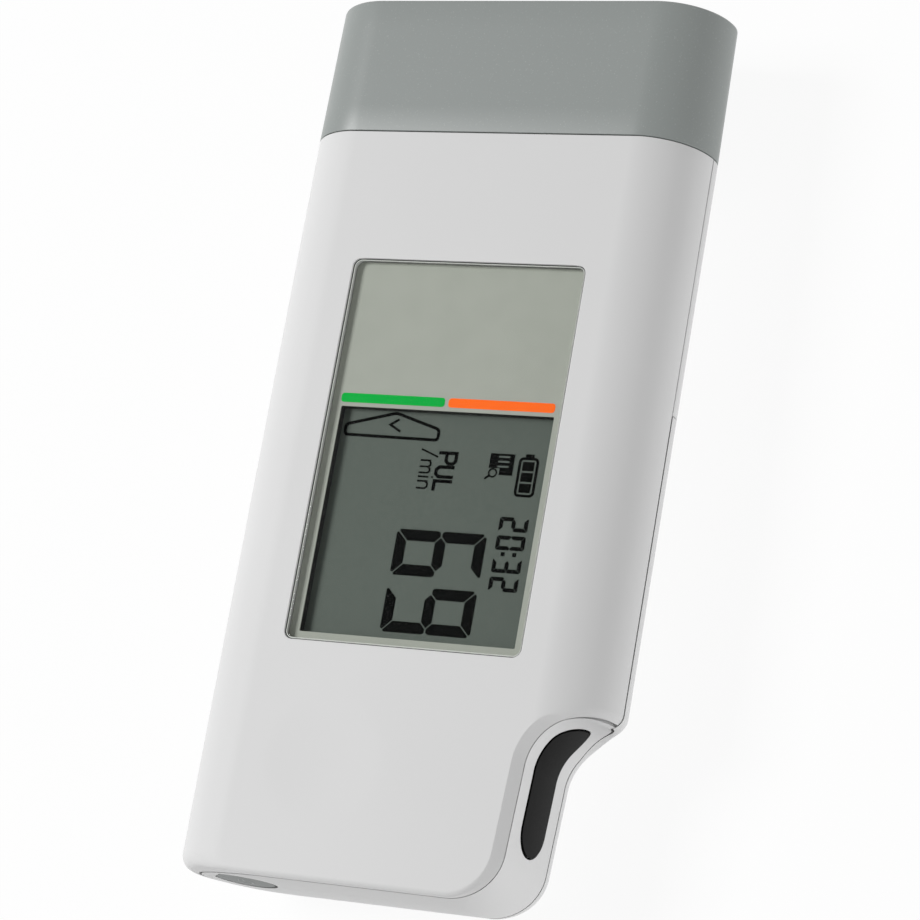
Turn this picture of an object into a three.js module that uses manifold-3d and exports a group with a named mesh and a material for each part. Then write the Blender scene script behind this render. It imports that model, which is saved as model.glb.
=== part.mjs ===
// Hand-held single-lead heart rhythm monitor: shells, end band with finger electrode, power button,
// pull-off cap over the chest electrode, display stack, circuit board, two AAA cells and fasteners.
// Millimetres. The monitor lies on its back: +Z out of the display, +Y towards the cap, X across.
// The origin is on the back, under the middle of the whole outline.
import * as THREE from 'three';
import { mergeVertices } from 'three/addons/utils/BufferGeometryUtils.js';
import Module from 'manifold-3d';

const wasm = await Module();
wasm.setup();

// Whole monitor. Its thickness follows from what is stacked in it, its length from the cells.
const upperLength = 28.97; // battery cover's edge to the cap
const capLength = 16.05;
const sideRadius = 7.4; // rounding from the front face to the long sides
const backFlatHalf = 6.8; // half the flat strip that the monitor lies on
const backFullness = 1.7; // exponent of the curve from the widest line to that strip
const partingRise = 1; // front shell meets the back parts above the widest line
const shellWall = 1.5;
const seamGap = 0.2; // parting lines
const seatGap = 0.3; // a piece to the one that carries it
const stackGap = 0.05; // pieces laid on each other in the display
const overrun = 1; // how far cuts run past what they cut
const smallestRadius = 0.3; // where an inset would use up a corner

// Bottom end and its corners
const endBulge = 0.5; // crown of the bottom end, back to front
const endEdgeRadius = 0.55; // front face to bottom end
const backEdgeRadius = 5; // back face to bottom end and finger recess
const leftCornerRadius = 1.75;
const leftSweepLength = 9.2; // the bottom end sweeps up over this stretch on the left
const leftSweepRise = 0.65;
const endCornerRadius = 5.9; // bottom end to finger recess

// Finger recess in the lower right side
const recessArcRadius = 6.1;
const recessArcRise = 14.8; // centre of the arc above the bottom end
const recessLean = 0.45; // the wall leans in towards the bottom end
const recessEdgeRadius = 1.1; // front face to recess wall
const recessLipRadius = 2.8; // long side to recess

// End band: the trim strip around the recess and the bottom end
const bandHeight = 11.9;
const bandTopDrop = 1.2; // front face down to the band
const bandWall = 1.5;
const bandLeftMargin = 4.85; // long side to the band's left end
const bandRightMargin = 1.45; // long side to the tip of its right end
const bandTipLength = 8.3; // the rounded right end
const bandEndRadius = 1.5;

// Finger electrode in the band
const fingerCornerGap = 0.9; // past the bottom corner's rounding
const fingerHalfHeight = 3.65;
const fingerTipLength = 3.2;
const fingerProud = 0.1;
const fingerDepth = 1.6;
const fingerCrown = 0.15;
const fingerPostRadius = 1.2;
const fingerPostLength = 1.4;

// Power button in the band
const buttonInset = 4; // band's left end to the button's centre
const buttonDrop = 4.4; // below the front face
const buttonWidth = 6.9;
const buttonHeight = 4.3;
const buttonSink = 0.1;
const buttonTravel = 0.5;
const buttonFlange = 0.7; // how far the flange stands out behind the band
const buttonFlangeThickness = 0.8;
const plungerRadius = 0.9;
const switchWidth = 6;
const switchDepth = 3.5;
const switchHeight = 2.2;
const switchStem = 0.6;
const switchStemRadius = 0.8;

// Thumb dish in the front face
const dishOffset = 6.5; // left of the centre line
const dishRise = 13.4; // above the bottom end
const dishRadius = 6.8;
const dishDepth = 0.35;

// Window and display, from the front face inwards
const windowWidth = 27.9;
const windowSideMargin = 2.6; // to the rounding of the long sides
const windowRise = 26.2; // above the bottom end
const windowTopDrop = 15.17; // below the cap's edge
const windowCorner = 1;
const windowSink = 0.2;
const windowThickness = 0.85;
const windowFit = 0.1;
const maskThickness = 0.15;
const ledgeWidth = 0.9;
const ledgeThickness = 1;
const rimWidth = 1.4;
const screenHeight = 25.4; // area that shows
const screenMargin = 1.25; // window's edge to the screen
const glassMargin = 0.2; // display glass past the screen
const glassThickness = 0.8; // each of the two panes
const contactShelf = 2; // front pane past the back one
const spacerHeight = 0.8;
const spacerWall = 1.5;
const zebraDepth = 1.5;

// Circuit board and what it carries
const boardThickness = 0.8;
const boardSideGap = 0.65; // to the finger electrode
const boardLowRise = 8; // above the bottom end
const boardTopDrop = 5.2; // below the cap's edge
const boardCorner = 1;
const boardTongueRise = 5.2; // above the bottom end
const boardTongueSide = 3.6; // past the button's centre
const boardTongueOverlap = 2; // along the main part's edge
const solderGap = 0.05;
const chipHeight = 0.9;
const chipBevel = 0.12;
const controllerSize = 7;
const frontEndSize = 5;
const memoryWidth = 6;
const memoryDepth = 4.9;
const memoryHeight = 1.5;
const crystalWidth = 3.2;
const crystalDepth = 2.5;
const crystalHeight = 0.8;

// Two AAA cells and their contacts
const cellRadius = 5.25;
const cellLength = 44.5;
const cellNubRadius = 1.9;
const cellNubHeight = 0.8;
const cellEdge = 0.5;
const cellGap = 0.7; // between the cells
const cellClear = 0.25;
const plateThickness = 0.35;
const plateHeight = 8.4;
const plateWidth = 8.6;
const plateDimple = 0.3;
const dimpleRadius = 1.5;
const tabWidth = 2;
const springWire = 0.5;
const springTurns = 3;
const springPitch = 1.05;
const springWideRadius = 3.4;
const springNarrowRadius = 2.2;
const springSteps = 12; // in each turn
const wireSides = 6;

// Battery tray in the back shell, and the cover over it
const bayEndRise = 6.75; // bottom end to the bay
const trayWall = 1.2;
const trayRoof = 0.8;
const trayBelowBand = 0.5; // lower edge of the tray's walls
const leafRoom = 0.9; // beside the bay, for the finger electrode's contact
const bayWall = 1;
const bayRib = 0.9;
const grooveCount = 6;
const grooveLength = 13;
const grooveWidth = 0.8;
const grooveDepth = 0.4;
const groovePitch = 1.7;
const grooveDrop = 6; // first groove below the cover's upper edge
const tongueWidth = 5; // lies between the two cells
const tongueReach = 2.4;
const tongueThickness = 1;

// Screws
const bossRadius = 2.4;
const threadGap = 0.15;
const shankClear = 0.3;
const caseScrewShank = 0.9;
const caseScrewHead = 1.9;
const caseScrewHeadHeight = 1.2;
const caseScrewLength = 4;
const caseScrewOut = 1.65; // past the flat of the front face
const caseScrewTopDrop = 3.7; // below the cover's upper edge
const caseScrewLeftRise = 14; // above the bottom end
const caseScrewRightRise = 7.5; // above the finger recess
const boardScrewShank = 0.8;
const boardScrewHead = 1.5;
const boardScrewHeadHeight = 0.8;
const boardScrewLength = 2.6;
const boardScrewInset = 3.1; // from the board's side
const boardScrewRise = 4.6; // above the window
const postRadius = 1.7;
const crossWidth = 0.35;
const crossDepth = 0.5;

// Cap and what it covers
const capWall = 1.5;
const capDraft = 0.18;
const capEdgeRadius = 0.3;
const neckRoot = 4.2; // inside the shells
const neckWall = 1.3;
const neckRib = 0.15;
const neckRibRise = 4;
const neckRibLength = 1;
const chestClear = 0.9; // to the inside of the cap
const chestMargin = 1.4; // neck's edge to the chest electrode
const chestThickness = 2;
const chestEdge = 0.8;
const chestPostRadius = 1.4;
const chestPostLength = 2.4;

// Leaf contacts from the board to the electrodes
const leafThickness = 0.3;
const leafWidth = 2.4;
const leafFoot = 1.3; // soldered under the board

// Smoothness, and shares of the sizes that they follow
const sideSteps = 8;
const backSteps = 9;
const arcSteps = 6;
const roundSegments = 24;
const smallSegments = 16;
const dishRings = 5;
const quarterTurn = Math.PI / 2;
const sweepShares = [0.25, 0.5, 0.75, 1];
const tipShares = [0.15, 0.35, 0.55, 0.78, 1];
const crownShares = [-1, -0.6, 0, 0.6, 1];
const fingerArcShare = 0.87; // of the recess's arc
const screwRimShare = 0.8;
const crossReachShare = 0.6;

// Heights, from the back upwards: cells, tray, board, display, window
const cellCentreZ = shellWall + cellClear + cellRadius;
const trayRoofLowZ = cellCentreZ + cellRadius + cellClear;
const trayRoofTopZ = trayRoofLowZ + trayRoof;
const boardLowZ = trayRoofTopZ + seatGap;
const boardTopZ = boardLowZ + boardThickness;
const glassLowZ = boardTopZ + spacerHeight + 2 * stackGap;
const glassTopZ = glassLowZ + 2 * glassThickness;
const maskLowZ = glassTopZ + stackGap;
const maskTopZ = maskLowZ + maskThickness;
const windowLowZ = maskTopZ + stackGap;
const windowTopZ = windowLowZ + windowThickness;
const frontZ = windowTopZ + windowSink;
const ledgeLowZ = glassTopZ - ledgeThickness;
const widestZ = frontZ - sideRadius;
const partingHeight = widestZ + partingRise;
const bandTopZ = frontZ - bandTopDrop;
const bandLowZ = bandTopZ - bandHeight;
const bandCentreZ = (bandTopZ + bandLowZ) / 2;
const trayLowZ = bandLowZ - trayBelowBand;

// Places along the body
const springLength = springTurns * springPitch + springWire;
const bayLength = 2 * (plateThickness + 2 * solderGap) + springLength + cellLength + plateDimple
  + 2 * stackGap;
const coverLength = bayEndRise + bayLength - seamGap / 2;
const bodyLength = coverLength + upperLength + capLength;
const endY = -bodyLength / 2;
const capTopY = bodyLength / 2;
const seamY = capTopY - capLength;
const coverTopY = endY + coverLength;
const bayTopY = coverTopY + seamGap / 2;
const bayLowY = endY + bayEndRise;
const upperPlateY = bayTopY - solderGap - plateThickness / 2;
const lowerPlateY = bayLowY + solderGap + plateThickness / 2;
const windowLowY = endY + windowRise;
const windowTopY = seamY - windowTopDrop;
const windowMidY = (windowLowY + windowTopY) / 2;
const windowHeight = windowTopY - windowLowY;
const screenLowY = windowLowY + screenMargin;
const boardLowY = endY + boardLowRise;
const boardTopY = seamY - boardTopDrop;
const neckTopY = capTopY - capWall - chestClear - chestThickness - stackGap;

// Places across the body
const frontFlatHalf = windowWidth / 2 + windowSideMargin;
const halfWidth = frontFlatHalf + sideRadius;
const backSpread = halfWidth - backFlatHalf;
const trayInset = shellWall + seatGap;
const cellOffset = cellRadius + cellGap / 2;
const bayHalf = cellOffset + cellRadius + cellClear;
const screenWidth = windowWidth - 2 * screenMargin;
const glassWidth = screenWidth + 2 * glassMargin;
const neckInset = capWall + seatGap;
const bandLeft = halfWidth - bandLeftMargin;
const bandRightTip = halfWidth - bandRightMargin;

// Finger recess: its wall lies against the battery tray
const recessWallX = bayHalf + bayWall + leafRoom + trayWall + trayInset;
const boardHalfWidth = recessWallX - recessLean - fingerDepth - boardSideGap;
const arcCentreX = recessWallX + recessArcRadius;
const arcCentreY = endY + recessArcRise;
const cornerCentreY = endY + endCornerRadius;
const recessTopY = arcCentreY + recessArcRadius;
const lipAcross = halfWidth - recessLipRadius - arcCentreX;
const recessTurn = Math.atan2(Math.sqrt((recessArcRadius + recessLipRadius) ** 2 - lipAcross ** 2),
  -lipAcross);
const fingerLowReach = recessArcRise - endCornerRadius - fingerCornerGap;
const fingerHighReach = fingerArcShare * recessArcRadius * recessTurn;

// Power button and its switch
const buttonX = -(bandLeft - buttonInset);
const buttonZ = frontZ - buttonDrop;
const switchStemY = endY + boardTongueRise - switchStem;
const switchTopZ = boardLowZ - solderGap;
const switchCentreZ = switchTopZ - switchHeight / 2;
const switchLowY = switchStemY + switchStem;

// One material per finish
const finishes = {
  whiteHousing: { color: '#e3e4e3', roughness: 0.42, metalness: 0 },
  greyCap: { color: '#8f9592', roughness: 0.5, metalness: 0.15 },
  blackElectrode: { color: '#2b2c2c', roughness: 0.55, metalness: 0 },
  greyButton: { color: '#6a6e6d', roughness: 0.5, metalness: 0 },
  clearWindow: { color: '#dfe3df', roughness: 0.06, metalness: 0 },
  printedMask: { color: '#a9ada5', roughness: 0.4, metalness: 0 },
  displayGlass: { color: '#5b645f', roughness: 0.2, metalness: 0 },
  whiteSpacer: { color: '#eceeec', roughness: 0.7, metalness: 0 },
  zebraRubber: { color: '#3a3a3c', roughness: 0.8, metalness: 0 },
  greenBoard: { color: '#1f5a38', roughness: 0.45, metalness: 0 },
  blackChip: { color: '#1d1e20', roughness: 0.6, metalness: 0 },
  steelCan: { color: '#b9bbbd', roughness: 0.3, metalness: 1 },
  cellJacket: { color: '#34383c', roughness: 0.35, metalness: 0.3 },
  nickelSteel: { color: '#c3c2bd', roughness: 0.32, metalness: 1 },
  springSteel: { color: '#a9a9a6', roughness: 0.35, metalness: 1 },
  goldLeaf: { color: '#c8a45a', roughness: 0.35, metalness: 1 },
};

// Closed geometry to a solid that can be joined and cut
function solidFrom(geometry) {
  const bare = geometry.clone();
  bare.deleteAttribute('normal');
  bare.deleteAttribute('uv');
  const welded = mergeVertices(bare);
  const vertProperties = Float32Array.from(welded.attributes.position.array);
  const triVerts = Uint32Array.from(welded.index.array);
  return new wasm.Manifold(new wasm.Mesh({ numProp: 3, vertProperties, triVerts }));
}

// Solid back to a named mesh
function meshFrom(solid, name, finish) {
  const { vertProperties, triVerts } = solid.getMesh();
  const geometry = new THREE.BufferGeometry();
  geometry.setAttribute('position', new THREE.BufferAttribute(Float32Array.from(vertProperties), 3));
  geometry.setIndex(Array.from(triVerts));
  geometry.computeVertexNormals();
  const mesh = new THREE.Mesh(geometry, new THREE.MeshStandardMaterial(finishes[finish]));
  mesh.name = name;
  return mesh;
}

// Skin over rings of equal count, closed by a fan to a centre at each end
function loft(rings, firstCentre, lastCentre) {
  const count = rings[0].length;
  const points = [...rings.flat(), firstCentre, lastCentre];
  const first = rings.length * count;
  const last = first + 1;
  const faces = [];
  for (let j = 0; j < count; j++) {
    const next = (j + 1) % count;
    for (let i = 0; i + 1 < rings.length; i++) {
      const low = i * count;
      const high = low + count;
      faces.push(low + j, low + next, high + next, low + j, high + next, high + j);
    }
    const top = (rings.length - 1) * count;
    faces.push(first, next, j, last, top + j, top + next);
  }
  let volume = 0;
  for (let i = 0; i < faces.length; i += 3) {
    const [a, b, c] = [points[faces[i]], points[faces[i + 1]], points[faces[i + 2]]];
    volume += a.dot(b.clone().cross(c));
  }
  if (volume < 0) faces.reverse();
  const geometry = new THREE.BufferGeometry().setFromPoints(points);
  geometry.setIndex(faces);
  return solidFrom(geometry);
}

// Shape drawn across an axis and carried along it
const axisTurns = {
  x: new THREE.Matrix4().makeBasis(
    new THREE.Vector3(0, 1, 0), new THREE.Vector3(0, 0, 1), new THREE.Vector3(1, 0, 0)),
  y: new THREE.Matrix4().makeBasis(
    new THREE.Vector3(1, 0, 0), new THREE.Vector3(0, 0, 1), new THREE.Vector3(0, -1, 0)),
  z: new THREE.Matrix4(),
};
function prism(shape, axis, from, to, segments = arcSteps) {
  const depth = to - from;
  const geometry = new THREE.ExtrudeGeometry(shape, { depth, bevelEnabled: false, curveSegments: segments });
  geometry.translate(0, 0, axis === 'y' ? -to : from);
  geometry.applyMatrix4(axisTurns[axis]);
  return solidFrom(geometry);
}

function roundedRectangle(centreX, centreY, width, height, radius) {
  const left = centreX - width / 2;
  const right = centreX + width / 2;
  const low = centreY - height / 2;
  const high = centreY + height / 2;
  const shape = new THREE.Shape();
  shape.moveTo(left + radius, low);
  shape.lineTo(right - radius, low);
  shape.absarc(right - radius, low + radius, radius, -quarterTurn, 0);
  shape.lineTo(right, high - radius);
  shape.absarc(right - radius, high - radius, radius, 0, quarterTurn);
  shape.lineTo(left + radius, high);
  shape.absarc(left + radius, high - radius, radius, quarterTurn, Math.PI);
  shape.lineTo(left, low + radius);
  shape.absarc(left + radius, low + radius, radius, Math.PI, 3 * quarterTurn);
  return shape;
}

function disc(x, y, radius) {
  return new THREE.Shape().absarc(x, y, radius, 0, 2 * Math.PI);
}

function oval(x, y, width, height) {
  return new THREE.Shape().absellipse(x, y, width / 2, height / 2, 0, 2 * Math.PI);
}

function block(low, high) {
  const geometry = new THREE.BoxGeometry(high[0] - low[0], high[1] - low[1], high[2] - low[2]);
  geometry.translate((low[0] + high[0]) / 2, (low[1] + high[1]) / 2, (low[2] + high[2]) / 2);
  return solidFrom(geometry);
}

// Profile of [radius, height] pairs turned about an upright axis
function turned(profile, x, y, segments = smallSegments) {
  const points = profile.map(([radius, height]) => new THREE.Vector2(radius, height));
  const geometry = new THREE.LatheGeometry(points, segments);
  geometry.rotateX(quarterTurn);
  geometry.translate(x, y, 0);
  return solidFrom(geometry);
}

// Half the width of the body at a height, for a skin that lies inside the outer one
function halfWidthAt(z, inset) {
  const rise = z - widestZ;
  const front = rise >= 0;
  const depth = front ? sideRadius - inset : widestZ - inset;
  const spread = front ? depth : backSpread - inset;
  const share = Math.min(Math.abs(rise) / depth, 1);
  const fullness = front ? 2 : backFullness;
  return (front ? frontFlatHalf : backFlatHalf) + spread * (1 - share ** fullness) ** (1 / fullness);
}

// How far an edge rounding has turned in at a height
function edgeInsetAt(z, radius, inset) {
  const front = z - (frontZ - radius);
  const back = bandLowZ - z;
  const depth = Math.max(front, back, 0);
  const full = Math.max((front > 0 ? radius : backEdgeRadius) - inset, 0);
  return full - Math.sqrt(Math.max(full * full - depth * depth, 0));
}

function arcPoints(x, y, radiusX, radiusY, from, to, steps) {
  const points = [];
  for (let i = 0; i <= steps; i++) {
    const angle = from + (to - from) * i / steps;
    points.push([x + radiusX * Math.cos(angle), y + radiusY * Math.sin(angle)]);
  }
  return points;
}

// Outline of the body seen from the front, at one height and inset
function outlineAt(z, inset, top) {
  const side = halfWidthAt(z, inset);
  const crownShare = (z - bandCentreZ) / (bandHeight / 2);
  const crown = endBulge * Math.min(crownShare * crownShare, 1);
  const low = endY + inset + crown + edgeInsetAt(z, endEdgeRadius, inset);
  const wallInset = inset + edgeInsetAt(z, recessEdgeRadius, inset);
  const wallX = Math.min(recessWallX - wallInset, side);
  const wallLowX = Math.min(recessWallX - recessLean - wallInset, side);

  const leftRadius = Math.max(leftCornerRadius - inset, smallestRadius);
  const sweepStartX = -halfWidth + leftCornerRadius + leftSweepLength;
  const sweepRise = x => leftSweepRise * Math.min(Math.max((sweepStartX - x) / leftSweepLength, 0), 1) ** 2;
  const leftX = -side + leftRadius;
  const leftRise = sweepRise(leftX);
  const points = [[-side, top]];
  points.push(...arcPoints(leftX, low + leftRise + leftRadius, leftRadius, leftRadius,
    Math.PI, 3 * quarterTurn, arcSteps));
  for (const share of sweepShares) {
    const x = leftX + (Math.max(sweepStartX, leftX + leftRadius) - leftX) * share;
    points.push([x, low + sweepRise(x)]);
  }

  const cornerY = Math.max(cornerCentreY, low + smallestRadius);
  const cornerRadiusX = Math.max(endCornerRadius - wallInset, smallestRadius);
  points.push(...arcPoints(wallLowX - cornerRadiusX, cornerY, cornerRadiusX, cornerY - low,
    -quarterTurn, 0, arcSteps));

  const arcRadius = recessArcRadius + wallInset;
  const lipRadius = Math.max(recessLipRadius - wallInset, smallestRadius);
  const arcX = wallX + arcRadius;
  const lipX = side - lipRadius;
  const across = lipX - arcX;
  const up = Math.sqrt(Math.max((arcRadius + lipRadius) ** 2 - across * across, 0));
  const turn = Math.atan2(up, -across);
  points.push(...arcPoints(arcX, arcCentreY, arcRadius, arcRadius, Math.PI, Math.PI - turn, arcSteps));
  points.push(...arcPoints(lipX, arcCentreY + up, lipRadius, lipRadius, -turn, 0, arcSteps).slice(1));
  points.push([side, top]);
  return points.map(([x, y]) => new THREE.Vector3(x, y, z));
}

// Heights where the skin is sampled
function levelsBetween(low, high, inset) {
  const levels = [low, high];
  for (let i = 0; i <= sideSteps; i++) {
    levels.push(widestZ + (sideRadius - inset) * Math.sin(quarterTurn * i / sideSteps));
  }
  for (let i = 1; i <= backSteps; i++) {
    levels.push(widestZ - (widestZ - inset) * Math.sin(quarterTurn * i / backSteps) ** (2 / backFullness));
  }
  levels.push(bandLowZ, frontZ - recessEdgeRadius, frontZ - endEdgeRadius);
  const sorted = levels.filter(z => z >= low && z <= high).sort((a, b) => a - b);
  return sorted.filter((z, i) => i === 0 || z - sorted[i - 1] > stackGap || z === high)
    .filter((z, i, kept) => i + 1 === kept.length || kept[i + 1] - z > stackGap / 2);
}

// The body's form, inside a given inset, between two heights and up to a top edge
function bodyForm(inset, low, high, top) {
  const rings = levelsBetween(low, high, inset).map(z => outlineAt(z, inset, top));
  const centreY = (recessTopY + seamY) / 2;
  return loft(rings, new THREE.Vector3(0, centreY, low), new THREE.Vector3(0, centreY, high));
}

// Cross-section of the body as a ring across Y
function sectionRing(inset, y) {
  const right = [];
  for (let i = backSteps; i > 0; i--) {
    const angle = quarterTurn * i / backSteps;
    const x = backFlatHalf + (backSpread - inset) * Math.cos(angle) ** (2 / backFullness);
    right.push([x, widestZ - (widestZ - inset) * Math.sin(angle) ** (2 / backFullness)]);
  }
  for (let i = 0; i <= sideSteps; i++) {
    const angle = quarterTurn * i / sideSteps;
    const x = frontFlatHalf + (sideRadius - inset) * Math.cos(angle);
    right.push([x, widestZ + (sideRadius - inset) * Math.sin(angle)]);
  }
  const left = right.map(([x, z]) => [-x, z]).reverse();
  return [...right, ...left].map(([x, z]) => new THREE.Vector3(x, y, z));
}

// Sections of [inset, place along Y] joined into one solid
function sectionLoft(stations) {
  const rings = stations.map(([inset, y]) => sectionRing(inset, y));
  const firstY = stations[0][1];
  const lastY = stations[stations.length - 1][1];
  return loft(rings, new THREE.Vector3(0, firstY, widestZ), new THREE.Vector3(0, lastY, widestZ));
}

// The band's outline seen from the bottom end, grown by a margin
function bandOutline(margin) {
  const low = bandLowZ - margin;
  const high = bandTopZ + margin;
  const left = -bandLeft - margin;
  const radius = bandEndRadius + margin;
  const tipX = bandRightTip - bandTipLength;
  const shape = new THREE.Shape();
  shape.moveTo(left + radius, low);
  shape.lineTo(tipX, low);
  shape.absellipse(tipX, bandCentreZ, bandTipLength + margin, high - bandCentreZ, -quarterTurn, quarterTurn);
  shape.lineTo(left + radius, high);
  shape.absarc(left + radius, high - radius, radius, quarterTurn, Math.PI);
  shape.lineTo(left, low + radius);
  shape.absarc(left + radius, low + radius, radius, Math.PI, 3 * quarterTurn);
  return shape;
}

// Room that the band takes out of the shells, up to a place along the body
function bandZone(margin, topY) {
  const outer = prism(bandOutline(margin), 'y', endY - overrun, topY, 2 * arcSteps);
  const inner = bodyForm(bandWall + seatGap, -overrun, frontZ + overrun, seamY);
  return outer.subtract(inner);
}

// Point on the recess wall, a distance along it from where the arc starts, and its outward normal
function recessWall(along) {
  if (along <= 0) {
    const slope = recessLean / (arcCentreY - cornerCentreY);
    const normal = new THREE.Vector2(1, -slope).normalize();
    return { x: recessWallX + slope * along, y: arcCentreY + along, normal };
  }
  const angle = along / recessArcRadius;
  const normal = new THREE.Vector2(Math.cos(angle), -Math.sin(angle));
  return {
    x: arcCentreX - recessArcRadius * Math.cos(angle),
    y: arcCentreY + recessArcRadius * Math.sin(angle),
    normal,
  };
}

// The finger electrode's form: a long pad with rounded ends that follows the recess wall
function fingerForm(margin, proud, depth, crown) {
  const low = -fingerLowReach - margin;
  const high = fingerHighReach + margin;
  const tip = fingerTipLength + margin;
  const ends = tipShares.map(share => quarterTurn * share)
    .map(angle => [tip * (1 - Math.cos(angle)), Math.sin(angle)]);
  const places = ends.map(([distance, share]) => [low + distance, share]);
  for (let i = 1; i < 2 * arcSteps; i++) {
    places.push([low + tip + (high - low - 2 * tip) * i / (2 * arcSteps), 1]);
  }
  places.push(...ends.map(([distance, share]) => [high - distance, share]).reverse());
  const rings = places.map(([along, share]) => {
    const wall = recessWall(along);
    const half = (fingerHalfHeight + margin) * share;
    const out = (distance, z) => new THREE.Vector3(
      wall.x + wall.normal.x * distance, wall.y + wall.normal.y * distance, z);
    const face = crownShares.map(across =>
      out(proud + crown * (1 - across * across), bandCentreZ + half * across));
    return [...face, out(-depth, bandCentreZ + half), out(-depth, bandCentreZ - half)];
  });
  const middle = ring => ring.reduce((sum, point) => sum.add(point), new THREE.Vector3())
    .divideScalar(ring.length);
  return loft(rings, middle(rings[0]), middle(rings[rings.length - 1]));
}

// Upright boss or pin
function post(x, y, radius, low, high) {
  return prism(disc(x, y, radius), 'z', low, high, smallSegments / 2);
}

// Case screw places, shared by the shells and the screws
const caseScrewX = frontFlatHalf + caseScrewOut;
const caseScrewPlaces = [
  [-caseScrewX, coverTopY - caseScrewTopDrop],
  [caseScrewX, coverTopY - caseScrewTopDrop],
  [-caseScrewX, endY + caseScrewLeftRise],
  [caseScrewX, recessTopY + caseScrewRightRise],
];
const boardScrewX = boardHalfWidth - boardScrewInset;
const boardScrewPlaces = [-1, 1].map(side => [side * boardScrewX, windowTopY + boardScrewRise]);
const cellPlaces = [-cellOffset, cellOffset];

// Where the band stops behind the top of the recess
const bandStopY = recessTopY + bandWall;

function makeFrontShell() {
  const partingZ = partingHeight + seamGap / 2;
  const topY = seamY - seamGap / 2;
  let shell = bodyForm(0, partingZ, frontZ, topY)
    .subtract(bodyForm(shellWall, partingZ - overrun, frontZ - shellWall, topY + overrun));
  const rim = roundedRectangle(0, windowMidY, windowWidth + 2 * rimWidth, windowHeight + 2 * rimWidth,
    windowCorner + rimWidth);
  shell = shell.add(prism(rim, 'z', ledgeLowZ, frontZ - shellWall + stackGap));
  const rebate = roundedRectangle(0, windowMidY, windowWidth, windowHeight, windowCorner);
  shell = shell.subtract(prism(rebate, 'z', glassTopZ, frontZ + overrun));
  const opening = roundedRectangle(0, windowMidY, windowWidth - 2 * ledgeWidth,
    windowHeight - 2 * ledgeWidth, Math.max(windowCorner - ledgeWidth, stackGap));
  shell = shell.subtract(prism(opening, 'z', ledgeLowZ - overrun, frontZ));
  shell = shell.subtract(dishCutter());
  const withinWall = bodyForm(shellWall / 2, partingZ, frontZ - shellWall / 2, topY);
  for (const [x, y] of caseScrewPlaces) {
    const boss = post(x, y, bossRadius, trayRoofTopZ + seatGap, frontZ);
    shell = shell.add(boss.intersect(withinWall));
    shell = shell.subtract(post(x, y, caseScrewShank + threadGap, trayRoofTopZ,
      trayRoofLowZ + caseScrewLength + threadGap));
  }
  for (const [x, y] of boardScrewPlaces) {
    shell = shell.add(post(x, y, postRadius, boardTopZ + stackGap, frontZ - shellWall / 2));
    shell = shell.subtract(post(x, y, boardScrewShank + threadGap, boardLowZ,
      boardLowZ + boardScrewLength + threadGap));
  }
  shell = shell.subtract(bandZone(seamGap, bandStopY + seamGap));
  return meshFrom(shell, 'front_shell', 'whiteHousing');
}

// Shallow spherical hollow for the thumb
function dishCutter() {
  const sphereRadius = (dishRadius ** 2 + dishDepth ** 2) / (2 * dishDepth);
  const profile = [[0, frontZ - dishDepth]];
  for (let i = 1; i <= dishRings; i++) {
    const radius = dishRadius * i / dishRings;
    const rise = sphereRadius - Math.sqrt(sphereRadius ** 2 - radius ** 2);
    profile.push([radius, frontZ - dishDepth + rise]);
  }
  profile.push([dishRadius, frontZ + overrun], [0, frontZ + overrun]);
  return turned(profile, -dishOffset, endY + dishRise, 2 * roundSegments);
}

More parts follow.
